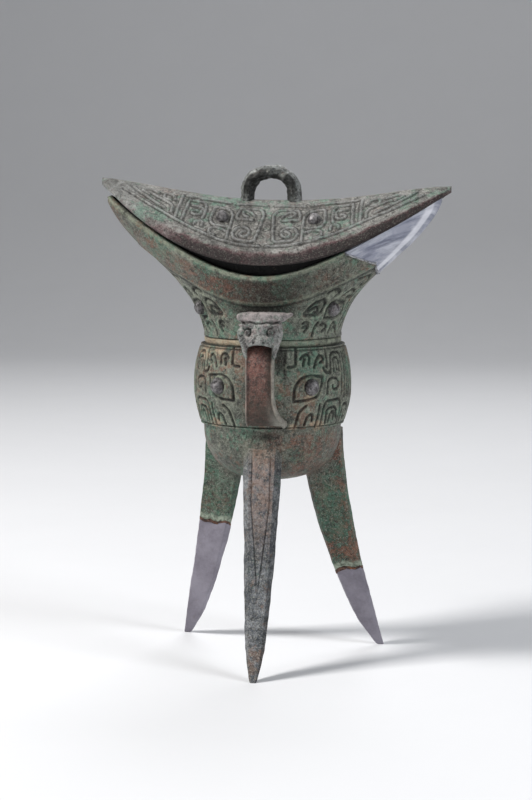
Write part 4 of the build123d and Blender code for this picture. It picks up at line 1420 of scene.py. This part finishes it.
def leg_part(name, leg, seed, low, high, proud=0.0, grooved=True, shade=0.0, rust=0.0):
    """A stretch of a leg between two heights given for each line up the blade.

    Shade darkens the right bevel as painted shade. Rust colours the edges and the stretch above a break.
    """
    beside, bevel, inward = leg_section().T
    rows = max(int(np.max(high - low) / LEG_ROW_HEIGHT), LEG_ROWS_LEAST)
    z = low + (high - low) * np.linspace(0, 1, rows)[:, None]
    side, out, width = leg_points(leg, z)
    grid = np.stack([side, -out, z], axis=-1)

    panel = (bevel == 0) & (inward == 0)
    across = np.abs(beside) * width / 2
    half = width / 2 * (1 - 2 * BEVEL)
    gap = LEG_LINE_GAP * np.clip((z - LEG_LINE_END) / (LEG_LINE_KNEE - LEG_LINE_END), 0, 1)
    fade = ease(z - LEG_LINE_END, *LEG_LINE_FADE) * ease(LEG_TOP_Z - z, *LEG_LINE_TOP)
    inner_line = line_mask(np.abs(across - gap), LEG_LINE_WIDTH)
    edge_line = LEG_EDGE_LINE_DEPTH * line_mask(np.abs(across - LEG_EDGE_LINE * half), LEG_LINE_WIDTH)
    groove_and_shade = np.maximum(inner_line, edge_line) * panel * fade * grooved
    tint = PANEL_TINT + (1 - PANEL_TINT) * ease(gap - across, *PANEL_EDGE)
    tint = tint + PANEL_RIGHT_TINT * ease(beside, *PANEL_RIGHT)
    raised = np.clip(tint, 0, 1) * panel * ease(z, *PANEL_FADE) * grooved

    waves = hand_worked(grid, LEG_WAVES, seed) * ease(z, 0, FOOT_SMOOTH_HEIGHT)
    shift = waves + proud + PANEL_RISE * raised - LEG_LINE_DEPTH * groove_and_shade
    normal = grid_normals(grid)
    middle = grid.mean(axis=1, keepdims=True)
    normal *= np.sign(np.sum(normal * (grid - middle), axis=-1, keepdims=True))
    grid = grid + normal * shift[..., None]
    grid[..., 2] = np.maximum(grid[..., 2], 0)

    root = ease(z - high, *ROOT_FADE)
    # The right bevel of the front blade, darkened as painted shade
    right_bevel = (beside > 0) & (bevel > 0) & (inward < BEVEL_SHADE_DEPTH)
    joint_rust = bell(z - low - JOINT_RUST_RISE, JOINT_RUST_REACH)
    edge_rust = EDGE_RUST * ease(np.abs(beside), *EDGE_RUST_FADE)
    marks = {
        "groove_and_shade": np.maximum(groove_and_shade, shade * right_bevel * (1 - root)),
        "rise": raised,
        "crust": (1 - ease(z - low, *CRUST_FADE)) * np.any(low > 0),
        "root": root,
        "stain": np.clip(rust * (joint_rust + edge_rust + ALL_OVER_RUST), 0, 1),
    }
    return closed_grid(name, facing(leg.turn, grid), marks)


def joint_line(leg, height, slant, seed):
    """The jagged height of a break, for each line up the blade."""
    level = np.full(sum(LEG_SIDE_POINTS), height)
    side, out, _ = leg_points(leg, level)
    return height + slant * side + hand_worked(np.stack([side, -out, level], axis=-1), BREAK_WAVES, seed)


def legs():
    """The front blade, and the stumps, filler and tips of the mended legs, by the node they stand for."""
    foot = np.zeros(sum(LEG_SIDE_POINTS))
    front = Leg(FRONT_LEG_TURN, FRONT_FOOT_REACH, 0, LEG_SINK)
    left = Leg(LEFT_LEG_TURN, LEFT_FOOT_REACH, LEFT_LEG_LEAN, 0)
    right = Leg(RIGHT_LEG_TURN, RIGHT_FOOT_REACH, 0, 0)
    blade = leg_part("front_leg_blade", front, FRONT_LEG_SEED, foot, leg_top(front), shade=FRONT_LEG_SHADE)
    pieces = {"front_leg": blade}
    mends = (
        ("left_leg", left, LEFT_LEG_SEED, LEFT_BREAK_HEIGHT, LEFT_BREAK_SLANT, LEFT_LEG_RUST),
        ("right_leg", right, RIGHT_LEG_SEED, RIGHT_BREAK_HEIGHT, RIGHT_BREAK_SLANT, RIGHT_LEG_RUST),
    )
    for name, leg, seed, height, slant, rust in mends:
        upper = joint_line(leg, height, slant, seed) + FILLER_SHOWN / 2
        lower = upper - FILLER_SHOWN
        pieces[name + "_stump"] = leg_part(name + "_stump_cast", leg, seed, upper, leg_top(leg), rust=rust)
        pieces[name + "_filler"] = leg_part(
            name + "_filler_paste", leg, seed, lower - FILLER_LAP, upper + FILLER_LAP,
            proud=FILLER_PROUD, grooved=False,
        )
        pieces[name + "_tip_repair"] = leg_part(name + "_tip_cast", leg, seed + TIP_SEED_STEP, foot, lower)
    return pieces


# Finishes

def tone(red, green, blue):
    """A colour from the 0 to 255 values seen on a screen."""
    values = np.array([red, green, blue]) / 255
    linear = np.where(values <= 0.04045, values / 12.92, ((values + 0.055) / 1.055) ** 2.4)
    return (*linear.tolist(), 1.0)


# Tones that the finishes of the old metal share
UNMARKED = (tone(20, 19, 18), 0.0)
ROOT_TONES = (tone(54, 53, 47), tone(112, 112, 102))
STAIN_TONES = (tone(62, 56, 46), tone(134, 76, 56))
# Near-black olive for painted shade with dark patina
SHADE_AND_DARK_PATINA_TONE = tone(29, 28, 24)
EARTH_TONES = (tone(180, 164, 138), tone(156, 114, 88))
BROWN_TONES = (tone(92, 54, 60), tone(30, 13, 16))
PIT_TONE = tone(30, 31, 28)
SPECK_TONE = tone(166, 170, 156)
DARK_GRIT_TONE = tone(34, 34, 31)
PALE_GRIT_TONE = tone(176, 174, 164)
CRUST_TONES = (tone(84, 92, 80), tone(172, 182, 164))


class Shade:
    """A shader value that can be used in sums."""

    def __init__(self, finish, socket):
        self.finish = finish
        self.socket = socket

    def __add__(self, other):
        return self.finish.sum("ADD", self, other)

    def __sub__(self, other):
        return self.finish.sum("SUBTRACT", self, other)

    def __rsub__(self, other):
        return self.finish.sum("SUBTRACT", other, self)

    def __mul__(self, other):
        return self.finish.sum("MULTIPLY", self, other)

    __radd__ = __add__
    __rmul__ = __mul__


class Finish:
    """A surface finish, built from shader nodes."""

    def __init__(self, name):
        self.material = bpy.data.materials.new(name)
        self.material.use_nodes = True
        self.tree = self.material.node_tree
        self.shader = self.tree.nodes["Principled BSDF"]
        self.place = self.node("ShaderNodeTexCoord", {}, {}, "Object")

    def node(self, kind, settings, inputs, output=0):
        made = self.tree.nodes.new(kind)
        for name, value in settings.items():
            setattr(made, name, value)
        for name, value in inputs.items():
            self.feed(made.inputs[name], value)
        return Shade(self, made.outputs[output])

    def feed(self, socket, value):
        if isinstance(value, Shade):
            self.tree.links.new(value.socket, socket)
        else:
            socket.default_value = value

    def sum(self, operation, first, second):
        return self.node("ShaderNodeMath", {"operation": operation}, {0: first, 1: second})

    def cloud(self, size, seed, detail=5.0, rough=0.6, place=None):
        """Cloudy variation between 0 and 1, with patches of about the given size in millimetres."""
        inputs = {"Vector": place or self.place, "W": seed, "Scale": 1 / (size * MM)}
        inputs |= {"Detail": detail, "Roughness": rough}
        return self.node("ShaderNodeTexNoise", {"noise_dimensions": "4D"}, inputs)

    def step(self, value, low, high):
        inputs = {"Value": value, "From Min": low, "From Max": high}
        return self.node("ShaderNodeMapRange", {"interpolation_type": "SMOOTHSTEP"}, inputs)

    def blend(self, share, first, second):
        inputs = {0: share, 6: first, 7: second}
        return self.node("ShaderNodeMix", {"data_type": "RGBA"}, inputs, 2)

    def mark(self, name):
        return self.node("ShaderNodeAttribute", {"attribute_name": name}, {}, "Fac")

    def distance_along(self, direction):
        inputs = {0: self.place, 1: direction}
        return self.node("ShaderNodeVectorMath", {"operation": "DOT_PRODUCT"}, inputs, "Value")

    def bump(self, height, depth):
        return self.node("ShaderNodeBump", {}, {"Height": height, "Distance": depth * MM, "Strength": 1.0})

    def set(self, **sockets):
        for name, value in sockets.items():
            self.feed(self.shader.inputs[name.replace("_", " ").title()], value)
        return self.material


def patina(
    name, dark, light, patches, groove_and_shade=UNMARKED, rise=UNMARKED,
    metal=0.15, spread=0.075, wear=1.0, grit=0.4, matt=0.45,
):
    """Old bronze: mottled ground, patches, ochre earth, pits and grit, dark grooves with painted shade in
    them, and worn raised lines.

    A patch is given as its tone, size, cover and strength; the dark of grooves and painted shade, and the
    pale of raised lines and painted highlight, each as tone and strength.
    """
    finish = Finish(name)
    broad = finish.cloud(26, seed=1)
    middle = finish.cloud(7, seed=2)
    fine = finish.cloud(2.2, seed=3, detail=6, rough=0.7)
    grain = finish.cloud(0.9, seed=4, detail=3, rough=0.75)
    ground = broad * 0.2 + middle * 0.25 + fine * 0.3 + grain * 0.25
    mottle = finish.step(ground, low=0.5 - spread, high=0.5 + spread)
    colour = finish.blend(mottle, dark, light)
    for number, (patch, size, cover, strength) in enumerate(patches):
        outline = finish.cloud(size, seed=20 + number)
        ragged = finish.cloud(size / 6, seed=30 + number, detail=6, rough=0.7)
        shape = finish.step(outline * 0.5 + ragged * 0.5, low=0.66 - cover, high=0.72 - cover)
        colour = finish.blend(shape * strength, colour, patch)
    colour = finish.blend(finish.mark("root"), colour, finish.blend(mottle, *ROOT_TONES))

    # Rust, painted shade with dark patina, earth and the brown edge, where the piece is marked for them
    stain = finish.cloud(8, seed=13) * 0.4 + finish.cloud(1.5, seed=14, detail=6, rough=0.75) * 0.6
    stain_tone = finish.blend(finish.step(stain, low=0.47, high=0.56), *STAIN_TONES)
    stained = finish.step(stain, low=0.42, high=0.5) * finish.mark("stain")
    colour = finish.blend(stained * 0.8, colour, stain_tone)
    shade_and_dark_patina = finish.mark("shade_and_dark_patina")
    shade_and_dark_patina_amount = shade_and_dark_patina * (0.45 + finish.step(stain, low=0.42, high=0.58) * 0.5)
    colour = finish.blend(shade_and_dark_patina_amount, colour, SHADE_AND_DARK_PATINA_TONE)
    earth = finish.cloud(2.2, seed=9, detail=6, rough=0.75) + finish.mark("ochre") * 0.34
    earth_tone = finish.blend(finish.step(middle * 0.4 + fine * 0.6, low=0.42, high=0.6), *EARTH_TONES)
    colour = finish.blend(finish.step(earth, low=0.62, high=0.8) * 0.8, colour, earth_tone)
    brown = finish.mark("brown")
    uneven = finish.cloud(8, seed=11, detail=6, rough=0.7) - 0.5
    brown_tone = finish.blend(finish.step(brown + uneven + fine * 0.6, low=0.72, high=1.3), *BROWN_TONES)
    colour = finish.blend(finish.step(brown + uneven * 1.6, low=0.3, high=0.8) * 0.95, colour, brown_tone)

    # Pits and grit
    pitting = grain * 0.4 + finish.cloud(1.5, seed=10, detail=5, rough=0.7) * 0.6
    pits = finish.step(pitting, low=0.52, high=0.61)
    colour = finish.blend(pits * 0.8, colour, PIT_TONE)
    specks = finish.step(finish.cloud(1.0, seed=12, detail=4, rough=0.7), low=0.58, high=0.7)
    clean = 1 - brown * 0.6 - shade_and_dark_patina * 0.5
    colour = finish.blend(specks * grit * clean * 1.25, colour, SPECK_TONE)
    dark_grit = finish.step(finish.cloud(0.6, seed=16, detail=3, rough=0.8), low=0.49, high=0.57)
    colour = finish.blend(dark_grit * grit, colour, DARK_GRIT_TONE)
    pale_grit = finish.step(finish.cloud(0.6, seed=17, detail=3, rough=0.8), low=0.53, high=0.61)
    colour = finish.blend(pale_grit * grit * clean * 0.8, colour, PALE_GRIT_TONE)

    # Sunk lines and painted shade, raised lines and painted highlight, and the pale crust at a break
    worn = finish.step(fine * 0.6 + grain * 0.4, low=0.38, high=0.58)
    sunk_and_shaded = finish.mark("groove_and_shade")
    groove_and_shade_tone, groove_and_shade_strength = groove_and_shade
    colour = finish.blend(sunk_and_shaded * (1 - worn * 0.3) * groove_and_shade_strength, colour, groove_and_shade_tone)
    rise_tone, rise_strength = rise
    # Raised lines paled by wear, and painted highlight where a piece is marked for it, such as the loop's
    # outer face
    rubbed_and_highlit = finish.mark("rise") * (1 - wear + worn * wear)
    colour = finish.blend(rubbed_and_highlit * rise_strength, colour, rise_tone)
    colour = finish.blend(finish.mark("crust") * 0.85, colour, finish.blend(worn, *CRUST_TONES))
    height = fine * 0.5 + grain * 0.35 + middle * 0.4 - pits * 0.35
    rough = matt + fine * 0.3 + sunk_and_shaded * 0.1 + brown * 0.25 + shade_and_dark_patina * 0.25
    relief = finish.bump(height, depth=0.8)
    return finish.set(base_color=colour, roughness=rough, metallic=metal, normal=relief)


def cup_finish():
    patches = [
        (tone(80, 122, 102), 18, 0.15, 0.7),
        (tone(116, 80, 62), 16, 0.14, 0.7),
        (tone(48, 48, 43), 9, 0.12, 0.75),
        (tone(138, 144, 128), 7, 0.08, 0.5),
    ]
    return patina(
        "cup_patina", tone(54, 57, 50), tone(128, 134, 120), patches,
        groove_and_shade=(tone(16, 17, 14), 1.0), rise=(tone(146, 152, 132), 0.65),
    )


def lid_finish():
    patches = [
        (tone(100, 138, 120), 22, 0.15, 0.65),
        (tone(156, 136, 128), 14, 0.1, 0.55),
        (tone(106, 82, 76), 20, 0.1, 0.5),
    ]
    return patina(
        "lid_patina", tone(80, 79, 76), tone(160, 159, 155), patches,
        groove_and_shade=(tone(36, 33, 31), 0.9), rise=(tone(142, 145, 145), 0.6), grit=0.5,
    )


def strap_finish():
    patches = [(tone(120, 68, 54), 12, 0.12, 0.6), (tone(54, 36, 38), 10, 0.14, 0.7)]
    return patina(
        "strap_patina", tone(66, 44, 41), tone(134, 92, 82), patches,
        groove_and_shade=(tone(50, 47, 38), 0.9), rise=(tone(152, 152, 142), 0.85), wear=0.5, grit=0.3,
    )


def head_finish():
    patches = [
        (tone(92, 122, 108), 8, 0.16, 0.65),
        (tone(160, 142, 142), 8, 0.14, 0.6),
        (tone(60, 58, 54), 4, 0.1, 0.6),
    ]
    return patina(
        "head_patina", tone(86, 86, 84), tone(160, 161, 158), patches,
        groove_and_shade=(tone(26, 24, 23), 0.9), rise=(tone(174, 160, 160), 0.6),
    )


def leg_finish():
    patches = [
        (tone(84, 106, 100), 22, 0.12, 0.6),
        (tone(126, 98, 82), 16, 0.12, 0.6),
        (tone(68, 75, 88), 20, 0.13, 0.6),
    ]
    return patina(
        "leg_patina", tone(60, 66, 73), tone(142, 145, 149), patches,
        groove_and_shade=(tone(28, 28, 30), 0.6), rise=(tone(150, 118, 100), 0.55), spread=0.07, grit=0.6,
    )


def stump_finish():
    patches = [
        (tone(74, 122, 100), 14, 0.2, 0.75),
        (tone(100, 74, 56), 12, 0.1, 0.75),
        (tone(38, 40, 34), 5, 0.11, 0.8),
    ]
    return patina(
        "stump_patina", tone(46, 58, 49), tone(98, 124, 108), patches,
        groove_and_shade=(tone(34, 36, 32), 0.5), spread=0.065, grit=0.5,
    )


def eye_finish():
    patches = [(tone(96, 112, 104), 6, 0.06, 0.5), (tone(84, 64, 66), 6, 0.1, 0.6)]
    return patina(
        "eye_patina", tone(54, 52, 53), tone(152, 149, 151), patches, metal=0.5, grit=0.1, matt=0.22,
    )


def loop_finish():
    patches = [
        (tone(92, 116, 104), 9, 0.1, 0.6),
        (tone(84, 64, 60), 9, 0.1, 0.6),
        (tone(20, 19, 18), 4, 0.13, 0.9),
    ]
    return patina(
        "loop_patina", tone(34, 34, 34), tone(122, 126, 124), patches,
        groove_and_shade=(tone(10, 9, 9), 1.0), rise=(tone(164, 167, 166), 0.65), metal=0.4, matt=0.32,
    )


def flange_finish():
    # Near black all over: painted shade, so that the flange shows as the dark gap under the lid's skirt
    patches = [(tone(6, 7, 6), 12, 0.1, 0.5), (tone(8, 6, 5), 12, 0.1, 0.5)]
    return patina("flange_painted_shade", tone(4, 4, 4), tone(9, 9, 8), patches, metal=0.0, grit=0.0, matt=0.75)


def bright_mend():
    """Bright streaked metal, dulled in patches, with a painted highlight along the ridge under the end."""
    finish = Finish("bright_mend")
    across = finish.distance_along(STREAK_ACROSS)
    along = finish.distance_along(STREAK_ALONG) * STREAK_STRETCH
    place = finish.node("ShaderNodeCombineXYZ", {}, {"X": across, "Y": along})
    streaks = finish.cloud(2.4, seed=1, rough=0.65, place=place)
    dull = finish.step(finish.cloud(16, seed=2), low=0.44, high=0.62)
    shine = finish.step(streaks, low=0.36, high=0.64)
    colour = finish.blend(shine, tone(104, 108, 124), tone(190, 192, 202))
    colour = finish.blend(dull * 0.5, colour, tone(108, 113, 132))
    # A near-white painted highlight along the ridge
    colour = finish.blend(finish.mark("keel_highlight") * (0.4 + streaks * 0.6), colour, tone(226, 227, 233))
    rough = 0.32 + dull * 0.2 + streaks * 0.1
    relief = finish.bump(streaks, depth=0.15)
    return finish.set(base_color=colour, roughness=rough, metallic=0.6, normal=relief)


def dull_solder():
    finish = Finish("dull_solder")
    mottle = finish.cloud(2.4, seed=1)
    colour = finish.blend(finish.step(mottle, low=0.4, high=0.62), tone(96, 98, 100), tone(168, 168, 170))
    rough = 0.4 + mottle * 0.2
    relief = finish.bump(mottle, depth=0.3)
    return finish.set(base_color=colour, roughness=rough, metallic=0.6, normal=relief)


def tip_resin():
    """Matt lilac-grey cast resin with faint brown stains."""
    finish = Finish("tip_resin")
    fine = finish.cloud(1.6, seed=2, rough=0.7)
    mottle = finish.step(finish.cloud(18, seed=1) * 0.75 + fine * 0.25, low=0.38, high=0.64)
    colour = finish.blend(mottle, tone(114, 109, 120), tone(142, 138, 149))
    stain = finish.step(finish.cloud(5, seed=3), low=0.62, high=0.72)
    colour = finish.blend(stain * 0.3, colour, tone(112, 100, 94))
    rough = 0.5 + fine * 0.25
    relief = finish.bump(fine, depth=0.25)
    return finish.set(base_color=colour, roughness=rough, metallic=0.0, normal=relief)


def filler_paste():
    finish = Finish("filler_paste")
    fine = finish.cloud(1.8, seed=1, rough=0.7)
    colour = finish.blend(finish.step(fine, low=0.4, high=0.6), tone(48, 34, 30), tone(104, 76, 64))
    rust = finish.step(finish.cloud(5, seed=2), low=0.56, high=0.64)
    colour = finish.blend(rust * 0.8, colour, tone(172, 102, 48))
    rough = 0.8 + fine * 0.1
    relief = finish.bump(fine, depth=0.4)
    return finish.set(base_color=colour, roughness=rough, metallic=0.0, normal=relief)


def dowel_rod():
    finish = Finish("dowel_rod")
    fine = finish.cloud(2, seed=1)
    colour = finish.blend(finish.step(fine, low=0.4, high=0.6), tone(150, 118, 62), tone(196, 160, 92))
    rough = 0.3 + fine * 0.2
    relief = finish.bump(fine, depth=0.1)
    return finish.set(base_color=colour, roughness=rough, metallic=0.9, normal=relief)


# Dressing the frame

def dress(piece, body, slot, finish, *nodes):
    """Gives a piece its finish and its body, and hides the solids that it stands for."""
    piece.data.materials.clear()
    piece.data.materials.append(finish)
    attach(piece, body)
    if nodes:
        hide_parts(*nodes)


def paint_node(node, finish):
    """Gives a shown solid its finish."""
    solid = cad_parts[node]
    solid.data.materials.clear()
    solid.data.materials.append(finish)


def dress_vessel():
    cup = cup_finish()
    eyes = eye_finish()
    neck, mend = neck_and_mend()
    dress(lower_cup(), "vessel", "patinated_bronze", cup, "cup_shell")
    dress(neck, "vessel", "patinated_bronze", cup)
    dress(mend, "vessel", "repair_metal", bright_mend(), "mouth_end_repair")
    dress(solder_seam(), "vessel", "solder", dull_solder(), "mouth_repair_seam")
    dress(belly_eyes(), "vessel", "patinated_bronze", eyes, "belly_eye_bosses")
    dress(neck_eyes(), "vessel", "patinated_bronze", eyes, "neck_eye_bosses")
    dress(strap(), "vessel", "handle_bronze", strap_finish(), "handle_strap")
    dress(ox_head(), "vessel", "handle_bronze", head_finish(), "handle_ox_head")
    blade, stump, resin, paste = leg_finish(), stump_finish(), tip_resin(), filler_paste()
    finishes = {
        "front_leg": ("patinated_bronze", blade),
        "left_leg_stump": ("patinated_bronze", stump),
        "right_leg_stump": ("patinated_bronze", stump),
        "left_leg_filler": ("joint_filler", paste),
        "right_leg_filler": ("joint_filler", paste),
        "left_leg_tip_repair": ("leg_tip_resin", resin),
        "right_leg_tip_repair": ("leg_tip_resin", resin),
    }
    for node, piece in legs().items():
        slot, finish = finishes[node]
        dress(piece, "vessel", slot, finish, node)
    rod = dowel_rod()
    for node in ("left_leg_dowel", "right_leg_dowel"):
        paint_node(node, rod)


def dress_lid():
    dress(lid(), "lid", "lid_bronze", lid_finish(), "lid_shell")
    dress(lid_loop(), "lid", "lid_bronze", loop_finish(), "lid_loop")
    dress(lid_eyes(), "lid", "lid_bronze", eye_finish(), "lid_eye_bosses")
    # The flange is painted near black, as painted shade in the gap under the skirt
    paint_node("lid_inner_flange", flange_finish())


# Floor, light and camera, in metres

CAMERA_PLACE = (0.1403, -0.8438, 0.219)
CAMERA_TURN = 9.646
CAMERA_PITCH = 6.71
CAMERA_LENS = 84.4
FLOOR_FRONT = -4.0
FLOOR_HALF_WIDTH = 5.0
SWEEP_START = 1.4
SWEEP_END = 2.4
SWEEP_ROWS = 16
BACKDROP_HEIGHT = 5.0
SKY_COLOUR = (0.93, 0.96, 1.0, 1.0)
SKY_STRENGTH = 0.14
LAMP_AIM = (0, 0, 0.13)

# Lamps: place, size, power and colour
LAMPS = {
    "left": ((-0.9, -0.5, 1.1), 0.3, 22, (1.0, 0.98, 0.95)),
    "right": ((1.1, -0.5, 0.75), 0.5, 8.5, (0.96, 0.98, 1.0)),
    "back": ((0.1, 0.9, 1.1), 0.8, 6, (1.0, 1.0, 1.0)),
}


def floor():
    """A pale floor that sweeps up into a backdrop."""
    share = np.linspace(0, 1, SWEEP_ROWS)
    depth = np.concatenate([[FLOOR_FRONT], SWEEP_START + (SWEEP_END - SWEEP_START) * share, [SWEEP_END]])
    height = np.concatenate([[0.0], 1 - np.sqrt(1 - share ** 2), [BACKDROP_HEIGHT]])
    across = np.array([-FLOOR_HALF_WIDTH, FLOOR_HALF_WIDTH])
    grid = np.stack([
        np.repeat(across[None], len(depth), axis=0),
        np.repeat(depth[:, None], 2, axis=1),
        np.repeat(height[:, None], 2, axis=1),
    ], axis=-1) / MM
    piece = make_piece("floor", grid, grid_faces(len(depth), 2, False).tolist(), {})
    finish = Finish("floor_paper")
    tooth = finish.cloud(60, seed=1)
    colour = finish.blend(tooth, tone(226, 227, 230), tone(230, 231, 234))
    piece.data.materials.append(finish.set(base_color=colour, roughness=1.0))


def studio():
    """A dim even sky and three soft lamps."""
    world = bpy.data.worlds.new("studio")
    world.use_nodes = True
    sky = world.node_tree.nodes["Background"]
    sky.inputs["Color"].default_value = SKY_COLOUR
    sky.inputs["Strength"].default_value = SKY_STRENGTH
    bpy.context.scene.world = world
    for name, (place, size, power, colour) in LAMPS.items():
        light = bpy.data.lights.new(name, "AREA")
        light.size = size
        light.energy = power
        light.color = colour
        lamp = put_in_scene(name, light)
        lamp.location = place
        lamp.rotation_euler = (Vector(LAMP_AIM) - Vector(place)).to_track_quat("-Z", "Y").to_euler()


def camera():
    eye = bpy.data.cameras.new("camera")
    eye.lens = CAMERA_LENS
    holder = put_in_scene("camera", eye)
    holder.location = CAMERA_PLACE
    holder.rotation_euler = (radians(90 - CAMERA_PITCH), 0, radians(CAMERA_TURN))
    bpy.context.scene.camera = holder


dress_vessel()
dress_lid()
floor()
studio()
camera()
bpy.context.scene.view_settings.view_transform = "Standard"
